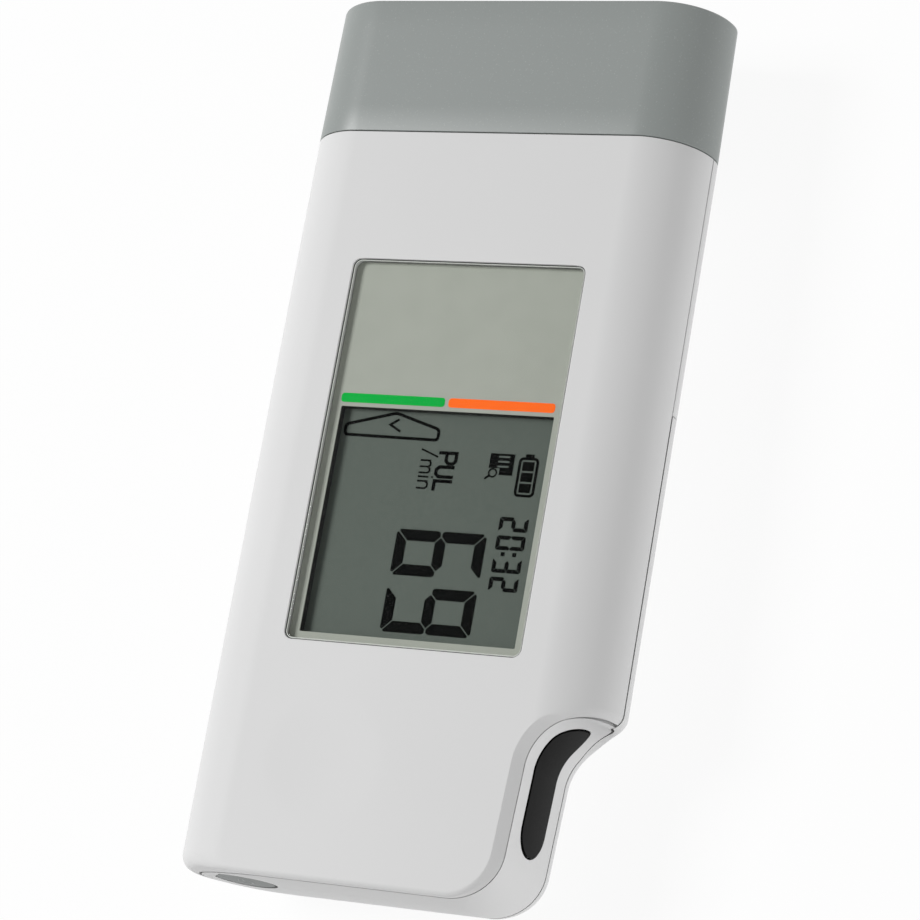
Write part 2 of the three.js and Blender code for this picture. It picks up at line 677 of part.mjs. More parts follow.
function makeBackShell() {
  const partingZ = partingHeight - seamGap / 2;
  const topY = seamY - seamGap / 2;
  const coverEdge = coverTopY + seamGap / 2;
  const beyond = [halfWidth + overrun, topY + overrun, frontZ + overrun];
  const above = block([-halfWidth - overrun, coverEdge, -overrun], beyond);
  let shell = bodyForm(0, 0, partingZ, topY)
    .subtract(bodyForm(shellWall, shellWall, partingZ + overrun, topY + overrun))
    .intersect(above);

  const trayTopY = coverEdge + trayWall;
  const outer = bodyForm(trayInset, trayLowZ, trayRoofTopZ, trayTopY);
  const inner = bodyForm(trayInset + trayWall, trayLowZ - overrun, trayRoofLowZ, trayTopY + overrun);
  shell = shell.add(outer.subtract(inner));
  const bulkhead = block([-halfWidth, coverEdge, shellWall / 2], [halfWidth, trayTopY, trayRoofTopZ]);
  const lowerForm = bodyForm(shellWall / 2, shellWall / 2, partingZ, topY);
  const upperForm = bodyForm(trayInset, shellWall, trayRoofTopZ, topY);
  shell = shell.add(bulkhead.intersect(lowerForm.add(upperForm)));
  shell = shell.subtract(block([-tongueWidth / 2 - seatGap, coverEdge - overrun, shellWall],
    [tongueWidth / 2 + seatGap, trayTopY + overrun, shellWall + stackGap + tongueThickness + seatGap]));

  for (const side of [-1, 1]) {
    const walls = [side * bayHalf, side * (bayHalf + bayWall)].sort((a, b) => a - b);
    shell = shell.add(block([walls[0], bayLowY - bayWall, trayLowZ],
      [walls[1], coverEdge + bayWall / 2, trayRoofLowZ + stackGap]));
  }
  shell = shell.add(block([-bayHalf, bayLowY - bayWall, trayLowZ],
    [bayHalf, bayLowY, trayRoofLowZ + stackGap]));
  shell = shell.add(block([-bayRib / 2, bayLowY + cellRadius, cellCentreZ + cellRadius - cellGap / 2],
    [bayRib / 2, bayTopY - cellRadius, trayRoofLowZ + stackGap]));

  for (const [x, y] of caseScrewPlaces) {
    shell = shell.subtract(post(x, y, caseScrewShank + shankClear, trayRoofLowZ - overrun,
      trayRoofTopZ + overrun));
  }
  for (const x of cellPlaces) {
    shell = shell.subtract(block(
      [x - tabWidth / 2 - shankClear, upperPlateY - plateThickness / 2 - shankClear, trayRoofLowZ - overrun],
      [x + tabWidth / 2 + shankClear, upperPlateY + plateThickness / 2 + solderGap, trayRoofTopZ + overrun]));
  }
  const buttonRoom = buttonWidth / 2 + buttonFlange + seatGap;
  shell = shell.subtract(block(
    [buttonX - buttonRoom, endY - overrun, buttonZ - buttonHeight / 2 - buttonFlange - seatGap],
    [buttonX + buttonRoom, switchLowY + switchDepth + seatGap, frontZ]));
  const stud = fingerStudPlace();
  shell = shell.subtract(prism(disc(stud.y, bandCentreZ, fingerPostRadius + seatGap), 'x',
    stud.x - fingerPostLength, halfWidth, smallSegments / 2));
  const leafX = stud.x - fingerPostLength;
  shell = shell.subtract(block(
    [leafX - leafFoot - seatGap, stud.y - leafWidth / 2 - seatGap, trayRoofLowZ],
    [leafX + seatGap, stud.y + leafWidth / 2 + seatGap, trayRoofTopZ + overrun]));
  return meshFrom(shell, 'back_shell', 'whiteHousing');
}

function makeBatteryCover() {
  const partingZ = partingHeight - seamGap / 2;
  const topY = coverTopY - seamGap / 2;
  let cover = bodyForm(0, 0, partingZ, topY)
    .subtract(bodyForm(shellWall, shellWall, partingZ + overrun, topY + overrun));
  cover = cover.subtract(bandZone(seamGap, recessTopY + recessLipRadius));
  // The walls are relieved inside, so that the cover slides off past the band
  cover = cover.subtract(prism(bandOutline(seamGap), 'y', recessTopY, topY + overrun, 2 * arcSteps));
  const tongueTopZ = shellWall + stackGap + tongueThickness;
  cover = cover.add(block([-tongueWidth / 2, topY - tongueReach, shellWall / 2],
    [tongueWidth / 2, topY, tongueTopZ]));
  cover = cover.add(block([-tongueWidth / 2, topY - tongueReach, shellWall + stackGap],
    [tongueWidth / 2, topY + tongueReach, tongueTopZ]));
  for (let i = 0; i < grooveCount; i++) {
    const y = topY - grooveDrop - groovePitch * i;
    cover = cover.subtract(block([-grooveLength / 2, y - grooveWidth / 2, -overrun],
      [grooveLength / 2, y + grooveWidth / 2, grooveDepth]));
  }
  return meshFrom(cover, 'battery_cover', 'whiteHousing');
}

function makeEndBand() {
  let band = bodyForm(0, bandLowZ - overrun, bandTopZ + stackGap, seamY)
    .subtract(bodyForm(bandWall, -overrun, frontZ, seamY + overrun))
    .intersect(prism(bandOutline(0), 'y', endY - overrun, bandStopY, 2 * arcSteps));
  band = band.subtract(fingerForm(seamGap, overrun, bandWall + overrun, 0));
  band = band.subtract(prism(oval(buttonX, buttonZ, buttonWidth + 2 * seamGap, buttonHeight + 2 * seamGap),
    'y', endY - overrun, endY + bandWall + 2 * overrun, roundSegments));
  return meshFrom(band, 'end_band', 'whiteHousing');
}

// The electrode's own stud goes through the tray wall, square to the straight stretch
function fingerStudPlace() {
  const wall = recessWall(-fingerLowReach / 2);
  return { x: wall.x - fingerDepth, y: wall.y };
}

function makeFingerElectrode() {
  const place = fingerStudPlace();
  const stud = prism(disc(place.y, bandCentreZ, fingerPostRadius), 'x', place.x - fingerPostLength,
    place.x + fingerDepth / 2, smallSegments / 2);
  const pad = fingerForm(0, fingerProud, fingerDepth, fingerCrown).add(stud);
  return meshFrom(pad, 'finger_electrode', 'blackElectrode');
}

function makePowerButton() {
  const flangeY = endY + endBulge + bandWall + seatGap;
  const flangeTopY = flangeY + buttonFlangeThickness;
  const column = prism(oval(buttonX, buttonZ, buttonWidth, buttonHeight), 'y', endY - overrun,
    flangeY + stackGap, roundSegments);
  let button = column.intersect(bodyForm(buttonSink, bandLowZ, frontZ, seamY));
  const flange = oval(buttonX, buttonZ, buttonWidth + 2 * buttonFlange, buttonHeight + 2 * buttonFlange);
  button = button.add(prism(flange, 'y', flangeY, flangeTopY, roundSegments));
  const stem = disc(buttonX, switchCentreZ, plungerRadius);
  button = button.add(prism(stem, 'y', flangeTopY - stackGap, switchStemY - buttonTravel - stackGap,
    smallSegments / 2));
  return meshFrom(button, 'power_button', 'greyButton');
}

function makeCap() {
  const outerTop = capTopY - capEdgeRadius;
  const stations = [[0, seamY + seamGap / 2], [capDraft, outerTop]];
  for (let i = 1; i <= arcSteps; i++) {
    const angle = quarterTurn * i / arcSteps;
    stations.push([capDraft + capEdgeRadius * (1 - Math.cos(angle)), outerTop + capEdgeRadius * Math.sin(angle)]);
  }
  const cavity = sectionLoft([[capWall, seamY - overrun], [capWall, capTopY - capWall]]);
  return meshFrom(sectionLoft(stations).subtract(cavity), 'protective_cap', 'greyCap');
}

function makeNeck() {
  const rootY = seamY - neckRoot;
  const endWallY = neckTopY - neckWall;
  let neck = sectionLoft([[neckInset, rootY], [neckInset, neckTopY]])
    .subtract(sectionLoft([[neckInset + neckWall, rootY - overrun], [neckInset + neckWall, endWallY]]));
  const ribY = seamY + neckRibRise;
  const rib = sectionLoft([[neckInset, ribY], [neckInset - neckRib, ribY + neckRibLength / 4],
    [neckInset - neckRib, ribY + 3 * neckRibLength / 4], [neckInset, ribY + neckRibLength]]);
  neck = neck.add(rib.subtract(sectionLoft([[neckInset + neckWall / 2, ribY - overrun],
    [neckInset + neckWall / 2, ribY + neckRibLength + overrun]])));
  neck = neck.subtract(prism(disc(0, widestZ, chestPostRadius + seatGap), 'y', endWallY - overrun,
    neckTopY + overrun, smallSegments / 2));
  return meshFrom(neck, 'electrode_neck', 'whiteHousing');
}

function makeChestElectrode() {
  const lowY = neckTopY + stackGap;
  const topY = lowY + chestThickness;
  const inset = neckInset + chestMargin;
  const stations = [[inset, lowY], [inset, topY - chestEdge]];
  for (let i = 1; i <= arcSteps; i++) {
    const angle = quarterTurn * i / arcSteps;
    stations.push([inset + chestEdge * (1 - Math.cos(angle)), topY - chestEdge + chestEdge * Math.sin(angle)]);
  }
  const stud = prism(disc(0, widestZ, chestPostRadius), 'y', lowY - chestPostLength, lowY + chestThickness / 2,
    smallSegments / 2);
  return meshFrom(sectionLoft(stations).add(stud), 'chest_electrode', 'blackElectrode');
}

function makeWindow() {
  const outline = roundedRectangle(0, windowMidY, windowWidth - 2 * windowFit, windowHeight - 2 * windowFit,
    windowCorner - windowFit);
  return meshFrom(prism(outline, 'z', windowLowZ, windowTopZ), 'display_window', 'clearWindow');
}

function makeMask() {
  const outline = roundedRectangle(0, windowMidY, windowWidth - 2 * windowFit, windowHeight - 2 * windowFit,
    windowCorner - windowFit);
  const hole = block([-screenWidth / 2, screenLowY, maskLowZ - overrun],
    [screenWidth / 2, screenLowY + screenHeight, maskTopZ + overrun]);
  const mask = prism(outline, 'z', maskLowZ, maskTopZ).subtract(hole);
  return meshFrom(mask, 'printed_mask', 'printedMask');
}

function makeDisplay() {
  const middleZ = glassLowZ + glassThickness;
  const low = screenLowY - glassMargin;
  const high = low + screenHeight + 2 * glassMargin;
  const back = block([-glassWidth / 2, low, glassLowZ], [glassWidth / 2, high, middleZ]);
  const front = block([-glassWidth / 2, low, middleZ - stackGap],
    [glassWidth / 2, high + contactShelf, glassTopZ]);
  return meshFrom(back.add(front), 'display_panel', 'displayGlass');
}

function makeSpacer() {
  const lowZ = boardTopZ + stackGap;
  const topZ = glassLowZ - stackGap;
  const high = screenLowY + screenHeight;
  const outer = block([-screenWidth / 2, screenLowY, lowZ], [screenWidth / 2, high, topZ]);
  const hole = block([-screenWidth / 2 + spacerWall, screenLowY + spacerWall, lowZ - overrun],
    [screenWidth / 2 - spacerWall, high - spacerWall, topZ + overrun]);
  return meshFrom(outer.subtract(hole), 'display_spacer', 'whiteSpacer');
}

function makeZebraStrip() {
  const lowY = screenLowY + screenHeight + glassMargin + seatGap;
  const strip = block([-screenWidth / 2, lowY, boardTopZ + stackGap],
    [screenWidth / 2, lowY + zebraDepth, glassLowZ + glassThickness - 2 * stackGap]);
  return meshFrom(strip, 'zebra_connector', 'zebraRubber');
}

function makeBoard() {
  const main = roundedRectangle(0, (boardLowY + boardTopY) / 2, 2 * boardHalfWidth, boardTopY - boardLowY,
    boardCorner);
  let board = prism(main, 'z', boardLowZ, boardTopZ, smallSegments / 4);
  board = board.add(block([buttonX - boardTongueSide, endY + boardTongueRise, boardLowZ],
    [-boardHalfWidth + boardTongueOverlap, boardLowY + boardTongueOverlap, boardTopZ]));
  for (const [x, y] of boardScrewPlaces) {
    board = board.subtract(post(x, y, boardScrewShank + shankClear, boardLowZ - overrun,
      boardTopZ + overrun));
  }
  return meshFrom(board, 'main_board', 'greenBoard');
}

// Flat moulded package with bevelled edges, under the board
function makeChip(name, acrossShare, alongShare, width, depth, height) {
  const topZ = boardLowZ - solderGap;
  const x = boardHalfWidth * acrossShare;
  const roomLowY = bayTopY + trayWall;
  const y = roomLowY + (boardTopY - roomLowY) * alongShare;
  const finish = name === 'clock_crystal' ? 'steelCan' : 'blackChip';
  const outline = roundedRectangle(x, y, width - 2 * chipBevel, depth - 2 * chipBevel, chipBevel);
  const geometry = new THREE.ExtrudeGeometry(outline, {
    depth: height - 2 * chipBevel,
    bevelThickness: chipBevel,
    bevelSize: chipBevel,
    bevelSegments: 1,
    curveSegments: 1,
  });
  geometry.translate(0, 0, topZ - height + chipBevel);
  return meshFrom(solidFrom(geometry), name, finish);
}

function makeSwitch() {
  const body = block([buttonX - switchWidth / 2, switchLowY, switchTopZ - switchHeight],
    [buttonX + switchWidth / 2, switchLowY + switchDepth, switchTopZ]);
  const stem = prism(disc(buttonX, switchCentreZ, switchStemRadius), 'y', switchStemY,
    switchLowY + stackGap, smallSegments / 2);
  return meshFrom(body.add(stem), 'power_switch', 'blackChip');
}

function makeCell(name, x, positiveUp) {
  const profile = [
    [0, 0],
    [cellRadius - cellEdge, 0],
    [cellRadius, cellEdge],
    [cellRadius, cellLength - cellNubHeight - cellEdge],
    [cellRadius - cellEdge, cellLength - cellNubHeight],
    [cellNubRadius, cellLength - cellNubHeight],
    [cellNubRadius, cellLength],
    [0, cellLength],
  ];
  const geometry = new THREE.LatheGeometry(profile.map(([r, h]) => new THREE.Vector2(r, h)), roundSegments);
  if (!positiveUp) geometry.rotateZ(Math.PI);
  const upY = upperPlateY - plateThickness / 2 - plateDimple - stackGap - cellLength;
  const downY = lowerPlateY + plateThickness / 2 + plateDimple + stackGap + cellLength;
  geometry.translate(x, positiveUp ? upY : downY, cellCentreZ);
  return meshFrom(solidFrom(geometry), name, 'cellJacket');
}

// Spring plate or button plate, across Y; the dimple stands towards the cell
function contactPlate(x, y, width, dimpleX, dimpleSide) {
  const plate = prism(roundedRectangle(x, cellCentreZ, width, plateHeight, plateThickness), 'y',
    y - plateThickness / 2, y + plateThickness / 2, 2);
  if (dimpleSide === 0) return plate;
  const face = y + dimpleSide * plateThickness / 2;
  const ends = [face - dimpleSide * stackGap, face + dimpleSide * plateDimple].sort((a, b) => a - b);
  return plate.add(prism(disc(dimpleX, cellCentreZ, dimpleRadius), 'y', ends[0], ends[1], smallSegments / 2));
}

function makeUpperContact(name, x, dimpleSide) {
  const tab = block([x - tabWidth / 2, upperPlateY - plateThickness / 2, cellCentreZ],
    [x + tabWidth / 2, upperPlateY + plateThickness / 2, boardLowZ - solderGap]);
  return meshFrom(contactPlate(x, upperPlateY, plateWidth, x, dimpleSide).add(tab), name, 'nickelSteel');
}

function makeBridgeContact() {
  const plate = contactPlate(0, lowerPlateY, 2 * cellOffset + plateWidth, cellPlaces[1], 1);
  return meshFrom(plate, 'bridge_contact', 'nickelSteel');
}

// Least space between turns of a wire, measured on its centre points
function leastGap(centres) {
  let least = Infinity;
  centres.forEach((point, i) => {
    for (const other of centres.slice(i + springSteps / 2)) {
      least = Math.min(least, point.distanceTo(other) - springWire);
    }
  });
  return least;
}

// Cone-shaped coil spring from a contact plate to a cell's flat end
function makeSpring(name, x, baseY, direction) {
  const steps = springTurns * springSteps;
  const centres = [];
  const rings = [];
  for (let i = 0; i <= steps; i++) {
    const share = i / steps;
    const angle = 2 * Math.PI * springTurns * share;
    const radius = springWideRadius + (springNarrowRadius - springWideRadius) * share;
    const rise = springWire / 2 + springTurns * springPitch * share;
    const out = new THREE.Vector3(Math.cos(angle), 0, Math.sin(angle));
    const centre = out.clone().multiplyScalar(radius)
      .add(new THREE.Vector3(x, baseY + direction * rise, cellCentreZ));
    const ring = [];
    for (let k = 0; k < wireSides; k++) {
      const turn = 2 * Math.PI * k / wireSides;
      const point = centre.clone().addScaledVector(out, springWire / 2 * Math.cos(turn));
      point.y += direction * springWire / 2 * Math.sin(turn);
      ring.push(point);
    }
    centres.push(centre);
    rings.push(ring);
  }
  console.log(`${name}: least gap between turns ${leastGap(centres).toFixed(2)} mm`);
  const middle = ring => ring.reduce((sum, point) => sum.add(point), new THREE.Vector3())
    .divideScalar(ring.length);
  return meshFrom(loft(rings, middle(rings[0]), middle(rings[rings.length - 1])), name, 'springSteel');
}

// Bent strip of spring metal: an angle drawn across an axis, one leg along, one leg down
function angleShape(outer, inner, foot, top, low) {
  const side = Math.sign(inner - outer);
  const shape = new THREE.Shape();
  shape.moveTo(outer, low);
  shape.lineTo(outer, top);
  shape.lineTo(foot, top);
  shape.lineTo(foot, top - leafThickness);
  shape.lineTo(outer + side * leafThickness, top - leafThickness);
  shape.lineTo(outer + side * leafThickness, low);
  return shape;
}

// From the board down behind the finger electrode's stud
function makeFingerLeaf() {
  const stud = fingerStudPlace();
  const x = stud.x - fingerPostLength - stackGap;
  const shape = angleShape(x, x - leafThickness, x - leafFoot, boardLowZ - solderGap,
    bandCentreZ - leafWidth / 2);
  return meshFrom(prism(shape, 'y', stud.y - leafWidth / 2, stud.y + leafWidth / 2), 'finger_leaf', 'goldLeaf');
}

// From the board's upper end to the chest electrode's stud
function makeChestLeaf() {
  const y = neckTopY - chestPostLength;
  const shape = angleShape(y, y - leafThickness, boardTopY - leafWidth, boardLowZ - solderGap,
    widestZ - chestPostRadius);
  return meshFrom(prism(shape, 'x', -leafWidth / 2, leafWidth / 2), 'chest_leaf', 'goldLeaf');
}

// Pan-head screw driven upwards, with a cross recess in its head
function makeScrew(name, x, y, headZ, shank, head, headHeight, length) {
  const profile = [
    [0, headZ - headHeight],
    [head * screwRimShare, headZ - headHeight],
    [head, headZ - headHeight / 2],
    [head, headZ],
    [shank, headZ],
    [shank, headZ + length - shank],
    [0, headZ + length],
  ];
  let screw = turned(profile, x, y);
  const reach = head * crossReachShare;
  for (const [halfX, halfY] of [[reach, crossWidth / 2], [crossWidth / 2, reach]]) {
    screw = screw.subtract(block([x - halfX, y - halfY, headZ - headHeight - overrun],
      [x + halfX, y + halfY, headZ - headHeight + crossDepth]));
  }
  return meshFrom(screw, name, 'steelCan');
}

// Each package under the board: its place as shares of the board's half width and of the room between
// the battery tray and the board's upper end, then its width, depth and height
const chips = [
  ['microcontroller', -0.11, 0.5, controllerSize, controllerSize, chipHeight],
  ['front_end_chip', 0.57, 0.4, frontEndSize, frontEndSize, chipHeight],
  ['memory_chip', -0.65, 0.2, memoryWidth, memoryDepth, memoryHeight],
  ['clock_crystal', -0.65, 0.5, crystalWidth, crystalDepth, crystalHeight],
];

function group(...pieces) {
  const holder = new THREE.Group();
  holder.add(...pieces);
  return holder;
}

const springPlaces = [
  ['contact_spring_1', cellPlaces[0], lowerPlateY + plateThickness / 2 + stackGap, 1],
  ['contact_spring_2', cellPlaces[1], upperPlateY - plateThickness / 2 - stackGap, -1],
];
const monitor = group(
  group(makeFrontShell(), makeBackShell(), makeBatteryCover(), makeEndBand()),
  group(makeFingerElectrode(), makeFingerLeaf(), makePowerButton(), makeSwitch()),
  group(makeCap(), makeNeck(), makeChestElectrode(), makeChestLeaf()),
  group(makeWindow(), makeMask(), makeDisplay(), makeSpacer(), makeZebraStrip()),
  group(makeBoard(), ...chips.map(chip => makeChip(...chip))),
  group(makeCell('battery_1', cellPlaces[0], true), makeCell('battery_2', cellPlaces[1], false),
    makeUpperContact('positive_contact', cellPlaces[0], -1),
    makeUpperContact('negative_contact', cellPlaces[1], 0), makeBridgeContact(),
    ...springPlaces.map(place => makeSpring(...place))),
  group(
    ...caseScrewPlaces.map(([x, y], i) => makeScrew(`case_screw_${i + 1}`, x, y,
      trayRoofLowZ - stackGap, caseScrewShank, caseScrewHead, caseScrewHeadHeight, caseScrewLength)),
    ...boardScrewPlaces.map(([x, y], i) => makeScrew(`board_screw_${i + 1}`, x, y,
      boardLowZ - stackGap, boardScrewShank, boardScrewHead, boardScrewHeadHeight, boardScrewLength))),
);
export default monitor;
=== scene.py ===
import math

import bmesh
import bpy
import numpy as np
from mathutils import Matrix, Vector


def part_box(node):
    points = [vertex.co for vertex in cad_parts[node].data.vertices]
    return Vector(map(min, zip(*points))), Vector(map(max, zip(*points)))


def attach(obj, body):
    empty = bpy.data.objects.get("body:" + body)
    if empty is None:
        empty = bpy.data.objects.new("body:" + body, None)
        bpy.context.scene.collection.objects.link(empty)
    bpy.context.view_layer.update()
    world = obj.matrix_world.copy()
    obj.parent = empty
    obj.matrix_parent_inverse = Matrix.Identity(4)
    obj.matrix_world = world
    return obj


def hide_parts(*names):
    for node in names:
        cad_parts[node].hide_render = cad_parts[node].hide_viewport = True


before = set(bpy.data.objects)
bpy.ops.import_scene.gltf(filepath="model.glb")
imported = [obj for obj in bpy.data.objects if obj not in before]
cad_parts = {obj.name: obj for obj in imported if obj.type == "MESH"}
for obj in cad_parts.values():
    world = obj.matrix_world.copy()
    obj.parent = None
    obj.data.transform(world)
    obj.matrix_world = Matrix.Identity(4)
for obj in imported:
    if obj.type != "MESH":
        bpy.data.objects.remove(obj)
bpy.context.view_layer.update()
mm = 0.001  # shapes are worked out in millimetres and stored in metres
mirror = np.array([-1, 1, 1])  # swaps left and right
print("monitor frame loaded:", len(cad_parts), "nodes")

camera = {  # solved from the corners of the window and the seams; axes and place in metres, lens in mm
    "place": (0.15191, -0.09318, 0.33769),
    "right": (0.9108, 0.1694, -0.3764),
    "up": (-0.0557, 0.9540, 0.2945),
    "back": (0.4090, -0.2472, 0.8784),
    "lens": 132.44,
    "sensor": 36,
}


# Matrix whose columns are three axes and a place
def axesAt(*columns):
    return Matrix([[float(column[i]) for column in columns] for i in range(3)] + [[0, 0, 0, 1]])


def makeCamera():
    data = bpy.data.cameras.new("photoCamera")
    data.lens = camera["lens"]
    data.sensor_width = camera["sensor"]
    data.sensor_fit = "HORIZONTAL"
    view = bpy.data.objects.new("photoCamera", data)
    view.matrix_world = axesAt(camera["right"], camera["up"], camera["back"], camera["place"])
    bpy.context.scene.collection.objects.link(view)
    bpy.context.scene.camera = view


makeCamera()
print("camera placed")


# Low and high corner of a solid, in millimetres
def nodeBox(name):
    low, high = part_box(name)
    return np.array(low) / mm, np.array(high) / mm


frontLow, frontHigh = nodeBox("front_shell")
backHigh = nodeBox("back_shell")[1]
coverHigh = nodeBox("battery_cover")[1]
bandLow, bandHigh = nodeBox("end_band")
capLow, capHigh = nodeBox("protective_cap")
neckLow, neckHigh = nodeBox("electrode_neck")
chestHigh = nodeBox("chest_electrode")[1]
paneLow, paneHigh = nodeBox("display_window")
maskLow, maskHigh = nodeBox("printed_mask")
panelLow, panelHigh = nodeBox("display_panel")

# Curves of the body: its section, its bottom end, its left corner, its finger recess, and its seams
body = {
    "sideRadius": 7.4, "backFlat": 6.8, "backFullness": 1.7,
    "endBulge": 0.5, "endEdge": 0.55, "backEdge": 5.0,
    "leftCorner": 1.75, "sweepLength": 9.2, "sweepRise": 0.65,
    "endCorner": 5.9, "arcRadius": 6.1, "arcRise": 14.8, "wallLean": 0.45,
    "wallEdge": 1.1, "edgeFlatShare": 0.9, "lipRadius": 1.6, "wallX": 16.0,
    "seamGap": 0.2, "wall": 1.2, "seamRound": 0.07, "tongueReach": 2.4,
    "sideSplit": -18.0, "leastRadius": 0.3, "coverSeamDrop": 0.55, "partingDrop": 0.25,
}
halfWidth = backHigh[0]
frontZ = frontHigh[2]
endY = bandLow[1]
seamY = (frontHigh[1] + capLow[1]) / 2
capTop = capHigh[1]
coverTop = coverHigh[1] - body["tongueReach"] + body["seamGap"] / 2 - body["coverSeamDrop"]
partingZ = (frontLow[2] + coverHigh[2]) / 2 - body["partingDrop"]
widestZ = frontZ - body["sideRadius"]
frontFlat = halfWidth - body["sideRadius"]
bandMid = (bandLow[2] + bandHigh[2]) / 2
bandHalf = (bandHigh[2] - bandLow[2]) / 2
bandTip = {  # where each end of the band stops above and below its tip line, how long it narrows, how full
    "left": {1: (-21.6, 7.0, 2.3), -1: (-21.6, 7.0, 2.3)},
    "right": {1: (bandHigh[0] + 0.7, 1.8, 3.6), -1: (bandHigh[0] + 0.1, 4.2, 1.6)},
}


# Half the width at a height: a quarter circle in front of the widest line, a superellipse behind it
def widthAt(z, inset):
    front = body["sideRadius"] - inset
    back = widestZ - inset
    spread = halfWidth - body["backFlat"] - inset
    fullness = body["backFullness"]
    up = np.clip((z - widestZ) / front, 0, 1)
    down = np.clip((widestZ - z) / back, 0, 1)
    return np.where(z >= widestZ, frontFlat + front * np.sqrt(1 - up**2),
                    body["backFlat"] + spread * (1 - down**fullness) ** (1 / fullness))


# How far an edge has turned in at a height: a quarter circle at the back, and at the front a quarter
# circle flattened towards its chord by a share
def edgeTurn(z, radius, inset, flat=0.0):
    front = z - (frontZ - radius)
    depth = np.maximum(np.maximum(front, bandLow[2] - z), 0)
    full = np.maximum(np.where(front > 0, radius, body["backEdge"]) - inset, 0)
    flat = np.where(front > 0, flat, 0.0)
    return (full - np.sqrt(np.maximum(full**2 - depth**2, 0))) * (1 - flat) + np.minimum(depth, full) * flat


# Outer skin of the body. The path runs down the left side (0 to 2), round the corner, along the bottom
# end (3 to 4), round the right corner, up the recess wall, arc and lip (5 to 8), up the right side (to 10)
# and back along the top edge (to 11). Lines and arcs take one unit each.
def skin(path, z, inset=0.0, top=0.0):
    path, z, inset, top = np.broadcast_arrays(*(np.asarray(v, float) for v in (path, z, inset, top)))
    least = body["leastRadius"]
    quarter = math.pi / 2
    side = widthAt(z, inset)
    bulge = body["endBulge"] * np.minimum(((z - bandMid) / bandHalf) ** 2, 1)
    low = endY + inset + bulge + edgeTurn(z, body["endEdge"], inset)
    share = [np.clip(path - k, 0, 1) for k in range(11)]

    # left corner, and the bottom end that sweeps up towards it
    leftR = np.maximum(body["leftCorner"] - inset, least)
    sweepX = -halfWidth + body["leftCorner"] + body["sweepLength"]

    def sweep(x):
        return body["sweepRise"] * np.clip((sweepX - x) / body["sweepLength"], 0, 1) ** 2

    leftX = leftR - side
    leftY = low + sweep(leftX) + leftR

    # right corner, recess wall, arc and lip
    wallInset = inset + edgeTurn(z, body["wallEdge"], inset, body["edgeFlatShare"])
    wallX = np.minimum(body["wallX"] - wallInset, side)
    wallLowX = np.minimum(body["wallX"] - body["wallLean"] - wallInset, side)
    cornerY = np.maximum(endY + body["endCorner"], low + least)
    cornerR = np.maximum(body["endCorner"] - wallInset, least)
    cornerX = wallLowX - cornerR
    endX = leftX + share[3] * (cornerX - leftX)
    arcR = body["arcRadius"] + wallInset
    lipR = np.maximum(body["lipRadius"] - wallInset, least)
    arcX, arcY = wallX + arcR, endY + body["arcRise"]
    lipX = side - lipR
    up = np.sqrt(np.maximum((arcR + lipR) ** 2 - (lipX - arcX) ** 2, 0))
    turn = np.arctan2(up, arcX - lipX)
    lipY = arcY + up

    # top edge, with a small round at each end of it that takes a tenth of its unit
    ends = 0.1
    topRound = body["seamRound"]
    topFlat = side - topRound
    turnIn = np.clip(share[10] / ends, 0, 1) * quarter
    turnOut = np.clip((share[10] - 1 + ends) / ends, 0, 1) * quarter
    across = topFlat - 2 * topFlat * np.clip((share[10] - ends) / (1 - 2 * ends), 0, 1)

    split = np.full_like(side, body["sideSplit"])
    step = np.clip(np.floor(path), 0, 10).astype(int)
    x = np.choose(step, [
        -side, -side, leftX + leftR * np.cos(math.pi + share[2] * quarter), endX,
        cornerX + cornerR * np.sin(share[4] * quarter), wallLowX + share[5] * (wallX - wallLowX),
        arcX - arcR * np.cos(share[6] * turn), lipX + lipR * np.cos(turn * (share[7] - 1)), side, side,
        across + topRound * (np.cos(turnIn) * (share[10] < 0.5) - np.sin(turnOut))])
    y = np.choose(step, [
        top - topRound + share[0] * (split - top + topRound), split + share[1] * (leftY - split),
        leftY - leftR * np.sin(share[2] * quarter), low + sweep(endX),
        cornerY - (cornerY - low) * np.cos(share[4] * quarter), cornerY + share[5] * (arcY - cornerY),
        arcY + arcR * np.sin(share[6] * turn), lipY + lipR * np.sin(turn * (share[7] - 1)),
        lipY + share[8] * (split - lipY), split + share[9] * (top - topRound - split),
        top - topRound + topRound * np.where(share[10] < 0.5, np.sin(turnIn), np.cos(turnOut))])
    return np.stack([x, y, z], -1)


# Vectors brought to length 1
def unit(vectors):
    return vectors / (np.linalg.norm(vectors, axis=-1, keepdims=True) + 1e-12)


# Outward normal of the skin: the cross product of small steps along the path and in height, turned away
# from a skin a little further in
def skinNormal(path, z, top=0.0):
    step, further = 1e-3, 0.2
    along = skin(path + step, z, 0, top) - skin(path - step, z, 0, top)
    upward = skin(path, z + step, 0, top) - skin(path, z - step, 0, top)
    normal = unit(np.cross(along, upward))
    outward = np.sum(normal * (skin(path, z, 0, top) - skin(path, z, further, top)), -1, keepdims=True)
    return normal * np.where(outward < 0, -1, 1)


# Path position of a place, given across and in height, by halving the range between two positions
def pathAt(x, z, low=2.0, high=5.0, halvings=40):
    x, z = np.broadcast_arrays(np.asarray(x, float), np.asarray(z, float))
    low, high = np.full(x.shape, low), np.full(x.shape, high)
    for _ in range(halvings):
        middle = (low + high) / 2
        short = skin(middle, z)[..., 0] < x
        low, high = np.where(short, middle, low), np.where(short, high, middle)
    return (low + high) / 2


# Steps of a quarter circle: how far along and how far in
def rollSteps(radius, count=4):
    angle = np.linspace(0, math.pi / 2, count)
    return radius * np.sin(angle), radius * (1 - np.cos(angle))


